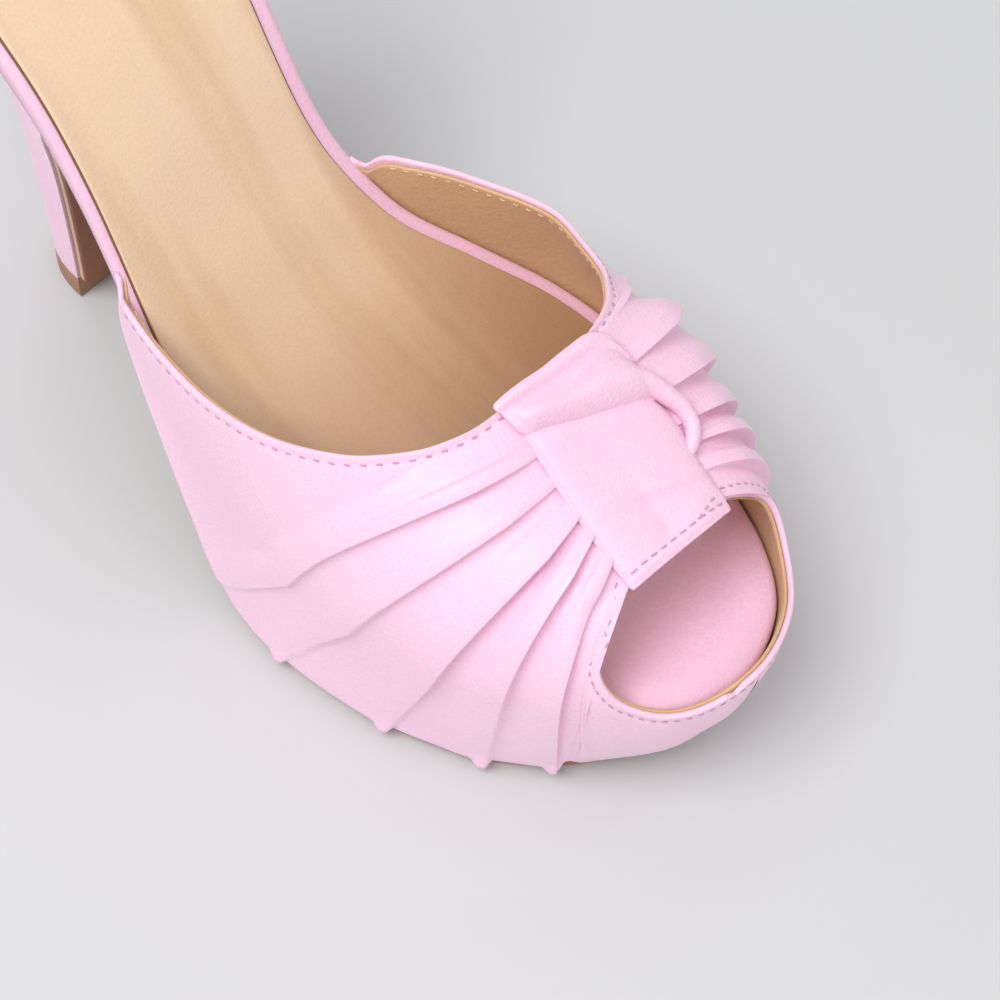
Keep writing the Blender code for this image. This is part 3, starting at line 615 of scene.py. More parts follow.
def stitch_row(build, line, normals, pitch=STITCH_PITCH, length=STITCH_LENGTH):
    """Adds a row of stitches that lie on the surface along a line."""
    at = walk(line, pitch)
    centre = read_line(line, at)
    along = unit(read_line(line, at + 0.4) - read_line(line, at - 0.4))
    normal = read_line(normals, at)
    normal = unit(normal - along * (normal * along).sum(1, keepdims=True))
    side = np.cross(along, normal)
    stations = np.array([-0.5, -0.46, -0.34, -0.12, 0.12, 0.34, 0.46, 0.5])
    widths = np.array([0.25, 0.75, 1.0, 1.0, 1.0, 1.0, 0.75, 0.25])
    turns = np.arange(8) / 8 * 2 * math.pi
    for k in range(len(at)):
        slant = side[k] * 0.06 * length
        rings = []
        for station, width in zip(stations, widths):
            lift = THREAD * (0.75 - 11 * station ** 4)
            place = centre[k] + along[k] * station * length + slant * station + normal[k] * lift
            ring = (
                place
                + np.outer(np.cos(turns), side[k]) * THREAD * width
                + np.outer(np.sin(turns), normal[k]) * THREAD * 0.8 * width
            )
            rings.append(build.add(ring))
        build.loft(rings)


def tube(build, line, radius, normals=None, flat=1.0, around=12):
    """Adds a closed tube along a line of points. flat squeezes it along the normals."""
    line = np.asarray(line, float)
    along = unit(np.gradient(line, axis=0))
    if normals is None:
        normals = np.tile(np.array([0.0, 0.0, 1.0]), (len(line), 1))
    normal = unit(normals - along * (normals * along).sum(1, keepdims=True))
    side = np.cross(along, normal)
    radius = np.broadcast_to(radius, (len(line),))
    turns = np.arange(around) / around * 2 * math.pi
    rings = []
    for k in range(len(line)):
        rings.append(build.add(
            line[k]
            + np.outer(np.cos(turns), side[k]) * radius[k]
            + np.outer(np.sin(turns), normal[k]) * radius[k] * flat
        ))
    build.loft(rings)


def through(points, count):
    """A smooth line of count points through a few given ones."""
    points = np.asarray(points, float)
    knots = arc_lengths(points)
    goal = np.linspace(0, knots[-1], count)
    tangent = np.gradient(points, knots, axis=0)
    i = np.clip(np.searchsorted(knots, goal) - 1, 0, len(points) - 2)
    h = (knots[i + 1] - knots[i])[:, None]
    t = ((goal - knots[i]) / h[:, 0])[:, None]
    return hermite(points, tangent, i, t, h)


# Materials

PORE_SCALE = 2600.0
GRAIN_DEPTH = 0.0004


def add_node(tree, kind, inputs, **settings):
    """A shader node with its settings, then its inputs: values, or sockets to link from."""
    node = tree.nodes.new("ShaderNode" + kind)
    for name, value in settings.items():
        setattr(node, name, value)
    for name, value in inputs.items():
        if isinstance(value, bpy.types.NodeSocket):
            tree.links.new(value, node.inputs[name])
        else:
            node.inputs[name].default_value = value
    return node


def leather(name, base, shade, grain=900.0, bump=0.10, rough=(0.38, 0.50), sheen=0.15, coat=0.10,
            streak=(1.0, 1.0, 1.0), patch=0.5, contrast=0.15, painted_shade=None):
    """Grained leather: broad colour change, grain and pores as bump, and uneven gloss.
    The last argument paints shade onto the colour: a place on y where the painted shade starts, one where
    it is full, and the shade's tint."""
    material = bpy.data.materials.new(name)
    material.use_nodes = True
    tree = material.node_tree
    place = add_node(tree, "TexCoord", {}).outputs["Object"]
    stretch = add_node(tree, "Mapping", {"Scale": streak, "Vector": place}).outputs["Vector"]
    broad = add_node(tree, "TexNoise", {"Scale": 26.0, "Detail": 4.0, "Vector": stretch}).outputs["Fac"]
    spread = add_node(tree, "MapRange", {
        "From Min": 0.5 - contrast, "From Max": 0.5 + contrast, "To Max": patch, "Value": broad,
    }).outputs["Result"]
    tone = add_node(tree, "Mix", {
        "A": (*base, 1.0), "B": (*shade, 1.0), "Factor": spread,
    }, data_type="RGBA").outputs["Result"]
    cells = add_node(tree, "TexVoronoi", {"Scale": grain, "Vector": place}).outputs["Distance"]
    pores = add_node(tree, "TexNoise", {"Scale": PORE_SCALE, "Detail": 3.0, "Vector": place}).outputs["Fac"]
    creases = add_node(tree, "TexNoise", {
        "Scale": grain * 0.28, "Detail": 5.0, "Distortion": 0.7, "Vector": place,
    }).outputs["Fac"]
    both = add_node(tree, "Math", {0: pores, 1: 0.45, 2: cells}, operation="MULTIPLY_ADD").outputs["Value"]
    height = add_node(tree, "Math", {0: creases, 1: 1.1, 2: both}, operation="MULTIPLY_ADD")
    relief = add_node(tree, "Bump", {
        "Strength": bump, "Distance": GRAIN_DEPTH, "Height": height.outputs["Value"],
    })
    dip = add_node(tree, "MapRange", {
        "From Min": 0.0, "From Max": 0.6, "To Min": 0.94, "To Max": 1.0, "Value": cells,
    }).outputs["Result"]
    colour = add_node(tree, "Mix", {
        "Factor": 1.0, "A": tone, "B": dip,
    }, data_type="RGBA", blend_type="MULTIPLY").outputs["Result"]
    # Painted shade: the colour darkens towards one end along y, standing in for a shadow that falls on that
    # part.
    if painted_shade:
        first, full, shade_tint = painted_shade
        along = add_node(tree, "SeparateXYZ", {"Vector": place}).outputs["Y"]
        ahead = add_node(tree, "MapRange", {
            "From Min": first, "From Max": full, "Value": along,
        }, interpolation_type="SMOOTHSTEP").outputs["Result"]
        colour = add_node(tree, "Mix", {
            "Factor": ahead, "A": colour, "B": (*shade_tint, 1.0),
        }, data_type="RGBA", blend_type="MULTIPLY").outputs["Result"]
    gloss = add_node(tree, "MapRange", {
        "From Min": 0.3, "From Max": 0.7, "To Min": rough[0], "To Max": rough[1], "Value": broad,
    })
    shader = tree.nodes["Principled BSDF"]
    tree.links.new(colour, shader.inputs["Base Color"])
    tree.links.new(relief.outputs["Normal"], shader.inputs["Normal"])
    tree.links.new(gloss.outputs["Result"], shader.inputs["Roughness"])
    shader.inputs["Sheen Weight"].default_value = sheen
    shader.inputs["Sheen Roughness"].default_value = 0.45
    shader.inputs["Coat Weight"].default_value = coat
    shader.inputs["Coat Roughness"].default_value = 0.35
    shader.inputs["IOR"].default_value = 1.46
    return material


PINK = (0.905, 0.590, 0.755)
PINK_SHADE = (0.880, 0.540, 0.715)
TAN = (0.800, 0.575, 0.400)
TAN_SHADE = (0.640, 0.430, 0.265)

pink_skin = leather("pink_leather", PINK, PINK_SHADE, grain=1300.0, bump=0.22)
pink_cover = leather("pink_cover", PINK, PINK_SHADE, grain=1500.0, bump=0.14)
pink_pad = leather("pink_pad", (0.86, 0.53, 0.69), (0.82, 0.48, 0.64), grain=1300.0, bump=0.16)
tan_sock = leather("tan_sock", TAN, TAN_SHADE, grain=1500.0, bump=0.10, rough=(0.30, 0.46), sheen=0.05,
                   # The long pale and dark bands stretched along the sock's colour are painted soft
                   # reflections, laid out as random tone.
                   coat=0.16, streak=(2.0, 0.22, 0.2), patch=1.0, contrast=0.09,
                   # The sock's colour darkens towards its front: painted shade of the vamp and collar,
                   # which shadow that part of the sock.
                   painted_shade=(0.135 + ORIGIN[1], 0.060 + ORIGIN[1], (0.60, 0.50, 0.43)))
tan_lining = leather("tan_lining", (0.68, 0.44, 0.24), (0.58, 0.35, 0.18), grain=1100.0, bump=0.22,
                     rough=(0.45, 0.6), coat=0.04)
brown_sole = leather("brown_outsole", (0.33, 0.115, 0.050), (0.24, 0.075, 0.032), grain=700.0, bump=0.18,
                     rough=(0.42, 0.58), sheen=0.0, coat=0.12)
lift_rubber = leather("lift_rubber", (0.38, 0.21, 0.13), (0.30, 0.16, 0.10), grain=500.0, bump=0.25,
                      rough=(0.55, 0.7), sheen=0.0, coat=0.0)
core_board = leather("platform_core", (0.55, 0.42, 0.30), (0.45, 0.33, 0.23), grain=400.0, bump=0.3,
                     rough=(0.7, 0.85), sheen=0.0, coat=0.0)
edge_beige = leather("edge_beige", (0.70, 0.50, 0.33), (0.60, 0.41, 0.26), grain=900.0, bump=0.12,
                     rough=(0.5, 0.6), sheen=0.0, coat=0.05)
# Dark brown for the cord along the sock's edge: partly the sock's dark cut edge, partly painted shadow.
edge_dark_and_shadow = leather("edge_dark_and_shadow", (0.20, 0.10, 0.06), (0.14, 0.07, 0.04), grain=900.0, bump=0.1,
                    rough=(0.5, 0.65), sheen=0.0, coat=0.0)
pink_thread = leather("pink_thread", (0.66, 0.39, 0.55), (0.58, 0.33, 0.48), grain=5200.0, bump=0.5,
                      rough=(0.5, 0.65), sheen=0.3, coat=0.0)
cream_thread = leather("cream_thread", (0.80, 0.62, 0.40), (0.70, 0.52, 0.32), grain=5200.0, bump=0.5,
                       rough=(0.5, 0.65), sheen=0.3, coat=0.0)


# Upper

def fan_places():
    """Fan row numbers of the fine columns, crowded round every pleat."""
    places = {round(k / 6, 5) for k in range(6 * LAST_FAN + 1)}
    places |= {round(NOTCH_PLACE + NOTCH_ROWS * k / 6, 5) for k in range(-7, 8)}
    lines = sorted({row[0] for row in LATERAL_PLEATS + MEDIAL_PLEATS})
    places = {p for p in places if all(not -0.46 < p - line < 0.50 for line in lines)}
    for line in lines:
        places |= {round(line + step, 5) for step in PLEAT_NEAR}
    ordered = sorted(p for p in places if 0 <= p <= LAST_FAN)
    kept = [ordered[0]]
    for p in ordered[1:]:
        if p - kept[-1] > 0.006:
            kept.append(p)
    return np.array(kept)


PLACES = fan_places()
SHARES = np.linspace(0, 1, UPPER_STEPS + 1)
SHARES = 0.4 * 0.5 * (1 - np.cos(math.pi * SHARES)) + 0.6 * SHARES


def fan_face(side, places, grow, cut=None):
    """Grid of points (column, step) of the smooth face. cut shortens columns at the top."""
    prefix = "lat" if side == LATERAL else "med"
    start = fan(prefix + "_start", places)[:, None]
    end = fan(prefix + "_end", places)[:, None]
    top = np.minimum(fan(prefix + "_top", places), 1.0)[:, None]
    share = np.broadcast_to(SHARES, (len(places), len(SHARES)))
    if cut is not None:
        share = share * (1 - cut[:, None])
    bend = table(BEND, BEND_ROWS, "bend", places)[:, None]
    row = start + (end - start) * (1 - (1 - share) ** bend)
    height = share * top
    taper = WING_TAPER * (1 - smooth_step(places / WING_ROWS)) ** 2
    depth = np.broadcast_to((grow - taper)[:, None], share.shape)
    face = upper_point(side, row.ravel(), height.ravel(), depth.ravel()).reshape(*share.shape, 3)
    return face, height


def pleat_field(side, places, face, height, from_foot):
    """Relief, lean and sag of the pleats over a grid of columns and heights. At the lower
    edge each ridge ends in a small round lobe with a pocket beside it."""
    pleats = LATERAL_PLEATS if side == LATERAL else MEDIAL_PLEATS
    heights = LATERAL_HEIGHTS if side == LATERAL else MEDIAL_HEIGHTS
    relief = np.zeros_like(height)
    lean = np.zeros_like(height)
    sag = np.zeros_like(height)
    steps = np.linalg.norm(np.diff(face, axis=0), axis=2)
    length = np.concatenate([np.zeros((1, face.shape[1])), np.cumsum(steps, axis=0)])
    before = 0.0
    for values in pleats:
        pleat = dict(zip(PLEAT, values))
        row = pleat["line"]
        top = pleat["top"]
        drop = pleat["drop"]
        lobe = pleat["lobe"]
        rises = (pleat["foot"], pleat["middle"], top, top * 0.55, 0.0)
        strength = np.interp(height, heights, rises)
        past = places[:, None] - row
        ridge = np.array([np.interp(row, places, length[:, k]) for k in range(length.shape[1])])
        behind = np.array([np.interp(before, places, length[:, k]) for k in range(length.shape[1])])
        reach = np.minimum(pleat["back"], np.maximum(ridge - behind, 1e-4))
        t = np.clip(1 + (length - ridge) / reach, 0, 1)
        rising = np.sin(math.pi / 2 * t ** 1.5) ** 1.25
        falling = 0.5 * (1 + np.cos(math.pi * np.clip(past / drop, 0, 1)))
        shape = np.where(past <= 0, rising, falling)
        gutter = np.exp(-(((past - drop * 1.05) / (0.35 * drop + 0.02)) ** 2))
        relief = np.maximum(relief, strength * shape) - strength * 0.10 * gutter
        low = np.exp(-((from_foot / 0.0030) ** 2))
        knob = low * np.exp(-(((length - ridge + 0.0004) / 0.0016) ** 4))
        pocket = low * np.exp(-(((length - ridge - 0.0027) / 0.0012) ** 2))
        relief = relief + lobe * (knob - pocket)
        sag = sag + 0.7 * lobe * knob
        width = 0.10 + 0.2 * drop
        crest = np.where(past <= 0, np.exp(-((past / width) ** 2)), 1 - smooth_step(past / drop) * 1.4)
        crest = np.where(past > drop, -0.4 * np.exp(-(((past - drop) / 0.10) ** 2)), crest)
        near = np.clip(strength / max(top, 1e-6), 0, 1)
        lean += pleat["lean"] * crest * near
        before = row + drop
    return relief, lean, sag


def small_creases(side, places, height):
    """Fine pulls in the leather that run along the pleats towards the knot."""
    at = places[:, None]
    weight = np.exp(-(((height - 0.80) / 0.13) ** 2))
    weight = weight * smooth_step((at - 10.2) / 0.6) * smooth_step((16.2 - at) / 0.6)
    wave = np.sin(at * 17.0 + 3.0 * height + side) + 0.6 * np.sin(at * 29.0 - 5.0 * height)
    slow = 0.00016 * np.sin(at * 2.9 + height * 7.0 + side) * smooth_step(height / 0.2)
    slow = slow * smooth_step((0.93 - height) / 0.2) * smooth_step((at - 10.6) / 1.5)
    return 0.00011 * wave * weight + slow


def open_columns(places):
    """1 where a column ends on a cut edge, 0 where it ends on the ridge."""
    before = np.clip((OPEN_BEFORE - places) / 0.3, 0, 1)
    after = np.clip((places - OPEN_AFTER) / 0.3, 0, 1)
    return smooth_step(before + after)


def from_top(face):
    """Distance of each point from its column's top, square to the cut edge."""
    steps = np.linalg.norm(np.diff(face, axis=1), axis=2)
    length = np.concatenate([np.cumsum(steps[:, ::-1], axis=1)[:, ::-1], np.zeros((len(face), 1))], 1)
    rim = unit(np.gradient(face[:, -1], axis=0))
    way = unit(face[:, -4] - face[:, -1])
    square = np.linalg.norm(np.cross(rim, way), axis=1)
    return length * np.maximum(square, 0.3)[:, None]


def grid_normals(face, hint):
    """Unit normals of a grid, turned to the side of hint."""
    across = np.gradient(face, axis=0)
    up = np.gradient(face, axis=1)
    normal = unit(np.cross(across, up))
    flip = np.sign((normal * hint).sum(2, keepdims=True))
    return normal * np.where(flip == 0, 1, flip)


def cut_line(first, last):
    """The cut edge between two fan rows, up one side of the upper and back on the other."""
    rows = np.linspace(first, last, 260)
    one = fan_face(LATERAL, rows, 0.0)[0][:, -1]
    two = fan_face(MEDIAL, rows, 0.0)[0][:, -1]
    return evenly(np.concatenate([one, two[::-1]]), CUT_STEP)


def evenly(line, gap):
    """The same line with points a gap apart."""
    lengths = arc_lengths(line)
    goals = np.linspace(0, lengths[-1], int(lengths[-1] / gap) + 1)
    return np.stack([np.interp(goals, lengths, line[:, k]) for k in range(3)], 1)


def distance_to(points, line):
    """Distance of each point from the nearest place of a line."""
    result = np.empty(len(points))
    for start in range(0, len(points), 2000):
        block = points[start:start + 2000]
        square = (block ** 2).sum(1)[:, None] + (line ** 2).sum(1)[None] - 2 * block @ line.T
        result[start:start + 2000] = np.sqrt(np.maximum(square.min(axis=1), 0))
    return result


def seam_line(points, normals, cut, inset):
    """A line on a surface at a distance inside its cut edge, with its normals."""
    way = unit(np.gradient(cut, axis=0))
    nearest = np.array([((points - place) ** 2).sum(1).argmin() for place in cut])
    normal = normals[nearest]
    width = 15
    pad = np.concatenate([np.repeat(normal[:1], width, 0), normal, np.repeat(normal[-1:], width, 0)])
    normal = unit(np.stack([np.convolve(pad[:, k], np.ones(2 * width + 1), "valid") for k in range(3)], 1))
    inwards = unit(np.cross(normal, way))
    line = []
    for place, direction, up in zip(cut, inwards, normal):
        tries = [place + direction * inset, place - direction * inset]
        near = [((points - one) ** 2).sum(1) for one in tries]
        best = int(near[1].min() < near[0].min())
        k = near[best].argmin()
        line.append(tries[best] - up * np.dot(tries[best] - points[k], up))
    line = np.array(line)
    for _ in range(4):
        line[1:-1] = (line[:-2] + 2 * line[1:-1] + line[2:]) / 4
    return line, normal


def notch(side, places):
    """Depth of the notch in the rim of the toe opening, where the binding's ends meet."""
    if side == MEDIAL:
        return np.zeros_like(places)
    return NOTCH_DEPTH * np.clip(1 - np.abs(places - NOTCH_PLACE) / NOTCH_ROWS, 0, 1)


def skin_face(side):
    """The finished outer face of the upper with pleats, edge puff and stitch trough."""
    whole, _ = fan_face(side, PLACES, 0.0)
    cut = notch(side, PLACES) / np.linalg.norm(np.diff(whole, axis=1), axis=2).sum(1)
    base, height = fan_face(side, PLACES, 0.0, cut)
    grown, _ = fan_face(side, PLACES, 0.001, cut)
    out = unit(grown - base)
    normal = grid_normals(base, out)
    normal = unit(np.where(np.abs((normal * out).sum(2, keepdims=True)) < 0.2, out, normal))
    from_foot = np.concatenate(
        [np.zeros((len(base), 1)), np.cumsum(np.linalg.norm(np.diff(base, axis=1), axis=2), axis=1)], 1
    )
    relief, lean, sag = pleat_field(side, PLACES, base, height, from_foot)
    relief = relief + small_creases(side, PLACES, height)
    toeward = unit(np.gradient(base, axis=0))
    for line, inset in ((COLLAR_LINE, STITCH_INSET), (PEEP_LINE, PEEP_INSET)):
        distance = distance_to(base.reshape(-1, 3), line).reshape(base.shape[:2])
        lean = lean * smooth_step((distance - 0.5 * inset) / 0.004)
        relief = relief * smooth_step((distance - 0.0014) / 0.0045)
        puff = smooth_step(1 - distance / inset)
        trough = np.exp(-(((distance - inset) / STITCH_TROUGH) ** 2))
        relief = relief + PUFF_HEIGHT * puff - 0.00016 * trough
    curl = np.clip(1 - from_foot / 0.0016, 0, 1) ** 2
    relief = relief * (1 - 0.35 * curl) - 0.0007 * curl
    centre = smooth_step(np.abs(base[:, :, 0]) / 0.003)
    lean = lean * centre
    face = base + normal * relief[..., None] + toeward * lean[..., None]
    face[..., 2] -= sag
    face[..., 0] = np.where(np.abs(base[..., 0]) < 1e-9, 0.0, face[..., 0])
    return face, normal


def upper_shell(name, outers, inners, material, steps, **rest):
    """The two halves of the upper as one closed sheet, open at the throat, toe and foot."""
    build = Builder()
    shape = outers[0].shape[:2]
    o = [build.add(face).reshape(shape) for face in outers]
    i = [build.add(face).reshape(shape) for face in inners]
    for numbers in (*o, *i):
        build.grid(numbers)
    first = int(np.searchsorted(PLACES, OPEN_BEFORE - 1e-6))
    second = int(np.searchsorted(PLACES, OPEN_AFTER - 1e-6))
    last = len(PLACES) - 1
    top = shape[1] - 1
    outline = [(0, c, 0) for c in range(last + 1)] + [(1, c, 0) for c in range(last, -1, -1)]
    outline += [(1, 0, s) for s in range(1, top + 1)] + [(1, c, top) for c in range(1, first + 1)]
    outline += [(0, c, top) for c in range(first, -1, -1)] + [(0, 0, s) for s in range(top - 1, -1, -1)]
    peep = [(0, c, top) for c in range(second, last + 1)]
    peep += [(1, c, top) for c in range(last, second - 1, -1)]
    for ring in (outline, peep):
        outer = np.array([o[h][c, s] for h, c, s in ring])
        inner = np.array([i[h][c, s] for h, c, s in ring])
        away = []
        for h, c, s in ring:
            inside = outers[h][max(c, 1) if s in (0, top) else 1, min(max(s, 2), top - 2)]
            away.append(outers[h][c, s] - inside)
        build.rim(outer, inner, np.array(away), steps)
    return build.make(name, material, **rest)


COLLAR_LINE = cut_line(0.0, OPEN_BEFORE)
PEEP_LINE = cut_line(LAST_FAN, OPEN_AFTER)
faces = {side: skin_face(side) for side in (LATERAL, MEDIAL)}
outers = [faces[side][0] for side in (LATERAL, MEDIAL)]
column_length = [np.linalg.norm(np.diff(fan_face(side, PLACES, 0.0)[0], axis=1), axis=2).sum(1)
                 for side in (LATERAL, MEDIAL)]


def shortened(k, by):
    """Share of each column to leave off at the top, none where it ends on the ridge."""
    return open_columns(PLACES) * by / np.maximum(column_length[k], 0.004)


inners = []
for k, side in enumerate((LATERAL, MEDIAL)):
    inners.append(fan_face(side, PLACES, -SKIN, notch(side, PLACES) / column_length[k])[0])
upper_shell("upper_skin", outers, inners, pink_skin, 6, slot="upper_leather", replaces=("upper",))

lining_out = []
lining_in = []
for k, side in enumerate((LATERAL, MEDIAL)):
    cut = shortened(k, LINING_STEP)
    lining_out.append(fan_face(side, PLACES, -LINING_TOP, cut)[0])
    lining_in.append(fan_face(side, PLACES, -UPPER_WALL, cut)[0])
upper_shell("upper_lining", lining_out, lining_in, tan_lining, 4, slot="sock_leather")


def gather(grids, hints):
    """All points of several grids with their normals."""
    points = np.concatenate([grid.reshape(-1, 3) for grid in grids])
    normals = np.concatenate([grid_normals(grid, hint).reshape(-1, 3) for grid, hint in zip(grids, hints)])
    return points, normals


threads = Builder()
hints = [faces[side][1] for side in (LATERAL, MEDIAL)]
skin_points, skin_normals = gather(outers, hints)
collar_cut = evenly(COLLAR_LINE, SEAM_STEP)
peep_cut = evenly(PEEP_LINE, SEAM_STEP)
line, turned = seam_line(skin_points, skin_normals, collar_cut, STITCH_INSET)
stitch_row(threads, line[12:-12], turned[12:-12])
line, turned = seam_line(skin_points, skin_normals, peep_cut, PEEP_INSET)
stitch_row(threads, line[2:-2], turned[2:-2], pitch=PEEP_PITCH)
threads.make("upper_stitches", pink_thread, slot="upper_leather")

inside_threads = Builder()
inner_points, inner_normals = gather(lining_in, [-hint for hint in hints])
line, turned = seam_line(inner_points, inner_normals, collar_cut, STITCH_INSET)
stitch_row(inside_threads, line[12:-12], turned[12:-12])
inside_threads.make("lining_stitches", cream_thread, slot="sock_leather")


# Knot

def lay(u, v, corners):
    """Plan points of a patch with given left and right edge lines; u across, v along."""
    left = through(corners[0], 200)
    right = through(corners[1], 200)
    n = np.arange(200) / 199
    a = np.stack([np.interp(v, n, left[:, k]) for k in range(2)], -1)
    b = np.stack([np.interp(v, n, right[:, k]) for k in range(2)], -1)
    return a + (b - a) * u[..., None]


def patch(corners, heights, steps):
    """Upper and lower grid of a cushioned patch over the dome. heights gives its
    thickness over (u, v)."""
    v, u = np.meshgrid(np.linspace(0, 1, steps[1]), np.linspace(0, 1, steps[0]), indexing="ij")
    u = 0.5 * (1 - np.cos(math.pi * u)) * 0.6 + 0.4 * u
    plan = lay(u, v, corners)
    ground = dome(plan[..., 0], plan[..., 1]) + KNOT_LIFT
    thick = heights(u, v)
    top = np.concatenate([plan, (ground + thick)[..., None]], -1)
    under = np.concatenate([plan, ground[..., None]], -1)
    return top, under


# Band front to back: left edge, right edge, in plan
BAND_EDGES = (
    ((-0.0124, 0.0208), (-0.0119, 0.0295), (-0.0110, 0.0390), (-0.0102, 0.0470), (-0.0100, 0.0505)),
    ((0.0121, 0.0186), (0.0130, 0.0218), (0.0133, 0.0262), (0.0142, 0.0312), (0.0149, 0.0350),
     (0.0141, 0.0400), (0.0136, 0.0450)),
)


def band_heights(u, v):
    """u runs across the band from lateral to medial, v from its front to its back."""
    edge_round = (1 - np.abs(2 * u - 1) ** 7) ** 0.5
    front = np.clip(v / 0.05, 0, 1)
    lip = 0.55 + 0.45 * np.sqrt(1 - (1 - front) ** 2)
    body = 0.0017 + 0.0013 * v
    body = body * (1 - 0.45 * smooth_step((u - 0.72) / 0.28) * smooth_step((0.22 - v) / 0.2))
    side_fall = 0.45 + 0.55 * edge_round
    soft_fold = 0.0004 * np.exp(-(((v - 0.36 - 0.22 * (0.5 - u)) / 0.035) ** 2)) * smooth_step(u / 0.3)
    soft_fold = soft_fold * smooth_step((1.02 - u) / 0.3)
    dent = -0.0003 * np.exp(-(((v - 0.30 - 0.22 * (0.5 - u)) / 0.045) ** 2)) * smooth_step(u / 0.5)
    pull = 0.00012 * np.sin(9 * u + 5 * v) * smooth_step(v / 0.5)
    body = body * (1 - 0.35 * smooth_step((v - 0.74 - 0.10 * (1 - u)) / 0.10))
    trough = -0.00018 * np.exp(-(((v - 0.050) / 0.013) ** 2))
    return body * lip * side_fall + soft_fold + dent + pull + trough


band_top, band_under = patch(BAND_EDGES, band_heights, (64, 90))
sheet("knot_band_cover", band_top, band_under, pink_skin, steps=5, slot="upper_leather",
      replaces=("knot_band",))

# Fold that crosses the back of the knot: front line, then rear line, lateral to medial
FOLD_FRONT = ((-0.0095, 0.0484), (-0.0060, 0.0470), (-0.0020, 0.0453), (0.0030, 0.0436), (0.0078, 0.0420),
              (0.0128, 0.0405), (0.0150, 0.0402))
FOLD_REAR = ((-0.0116, 0.0552), (-0.0060, 0.0547), (-0.0006, 0.0541), (0.0060, 0.0538), (0.0118, 0.0532),
             (0.0140, 0.0520), (0.0158, 0.0480))


def fold_heights(u, v):
    """u runs from the front line to the rear line, v from lateral to medial."""
    front = np.sqrt(np.clip(1 - (1 - np.clip(u / 0.30, 0, 1)) ** 2, 0, 1))
    crown = 0.0047 + 0.0008 * v
    fall = 1 - 0.74 * smooth_step((u - 0.16) / 0.74)
    end = 0.5 + 0.5 * (1 - np.abs(2 * v - 1) ** 8) ** 0.5
    groove = -0.0005 * np.exp(-(((u - 0.78) / 0.045) ** 2))
    roll = 0.0003 * np.exp(-(((u - 0.90) / 0.06) ** 2))
    crease = -0.0004 * np.exp(-(((u - 0.42 - 0.5 * (v - 0.4)) / 0.05) ** 2)) * smooth_step((v - 0.15) / 0.4)
    ridge = 0.0003 * np.exp(-(((u - 0.56 - 0.5 * (v - 0.4)) / 0.07) ** 2)) * smooth_step((v - 0.15) / 0.4)
    body = crown * (0.30 + 0.70 * front) * fall * end
    return body + groove + roll + crease + ridge


fold_top, fold_under = patch((FOLD_FRONT, FOLD_REAR), fold_heights, (70, 90))
sheet("knot_fold_cover", fold_top, fold_under, pink_skin, steps=5, slot="upper_leather",
      replaces=("knot_fold",))

# Loop that comes down from the fold on the medial side
LOOP = ((0.0118, 0.0450), (0.0148, 0.0424), (0.0168, 0.0389), (0.0181, 0.0361), (0.0177, 0.0332),
        (0.0153, 0.0309), (0.0120, 0.0298))
LOOP_STEPS = 60
loop_at = np.linspace(0, 1, LOOP_STEPS)
loop_plan = through(LOOP, LOOP_STEPS)
loop_lift = np.interp(loop_at, (0, 0.2, 0.5, 0.8, 1), (0.0026, 0.0028, 0.0024, 0.0016, 0.0002))
loop_line = np.concatenate([loop_plan, (dome(loop_plan[:, 0], loop_plan[:, 1]) + loop_lift)[:, None]], 1)
loop = Builder()
loop_radius = np.interp(loop_at, (0, 0.15, 0.5, 0.8, 1), (0.0021, 0.0020, 0.0017, 0.0014, 0.0010))
tube(loop, loop_line, loop_radius, flat=1.1, around=20)
loop.make("knot_loop", pink_skin, slot="upper_leather")

knot_threads = Builder()
front_line = band_top[5, 3:-3]
front_normals = np.tile(np.array([0.0, -0.45, 0.9]), (len(front_line), 1))
stitch_row(knot_threads, front_line, front_normals, pitch=0.0024, length=0.0015)
second_u = np.linspace(0.68, 0.97, 30)
second_v = 0.05 + 0.075 * (second_u - 0.68) / 0.29
second_plan = lay(second_u, second_v, BAND_EDGES)
second_z = dome(second_plan[:, 0], second_plan[:, 1]) + KNOT_LIFT + band_heights(second_u, second_v)
second_line = np.concatenate([second_plan, second_z[:, None]], 1)
second_normals = np.tile(np.array([0.2, -0.2, 0.9]), (len(second_line), 1))
stitch_row(knot_threads, second_line, second_normals, pitch=0.0022, length=0.0013)
knot_threads.make("knot_stitches", pink_thread, slot="upper_leather")


# Insole, sock and soles

def outline_plate(name, rows, margins, top, bottom, radius, material, insets, puff=None, **rest):
    """A plate of the shoe's outline with a rounded upper edge."""
    build = Builder()
    arc = np.linspace(0, math.pi / 2, 6)
    offsets = [(radius * (1 - math.cos(a)), radius * (1 - math.sin(a))) for a in arc]
    offsets += [(inset, 0.0) for inset in insets]
    columns = []
    for side, margin in ((LATERAL, margins[0]), (MEDIAL, margins[1])):
        rings = []
        first = edge(side, rows, -margin)
        spine_y = np.clip(first[:, 1], 0.015, INSOLE_RUN - 0.014)
        spine = np.stack([np.zeros_like(spine_y), spine_y], 1)
        for plan in (spine, first):
            rings.append(np.concatenate([plan, bottom(plan[:, 1])[:, None]], 1))
        for inset, down in offsets:
            place = edge(side, rows, -margin - inset)
            z = top(np.maximum(place[:, 1], 0)) - down
            if puff is not None:
                z = z + puff(rows, inset)
            rings.append(np.concatenate([place, z[:, None]], 1))
        for share in (0.35, 0.7, 1.0):
            place = rings[len(offsets) + 1][:, :2] * (1 - share) + spine * share
            height = top(np.maximum(place[:, 1], 0))
            if puff is not None:
                height = height + puff(rows, 0.02)
            rings.append(np.concatenate([place, height[:, None]], 1))
        columns.append(np.stack(rings, 1))
    numbers = [build.add(grid).reshape(grid.shape[:2]) for grid in columns]
    for grid in numbers:
        build.grid(grid)
    if rows[0] > 0:
        ends = np.concatenate([numbers[0][0], numbers[1][0][::-1]])
        build.faces.append(tuple(int(n) for n in ends))
    return build.make(name, material, **rest)


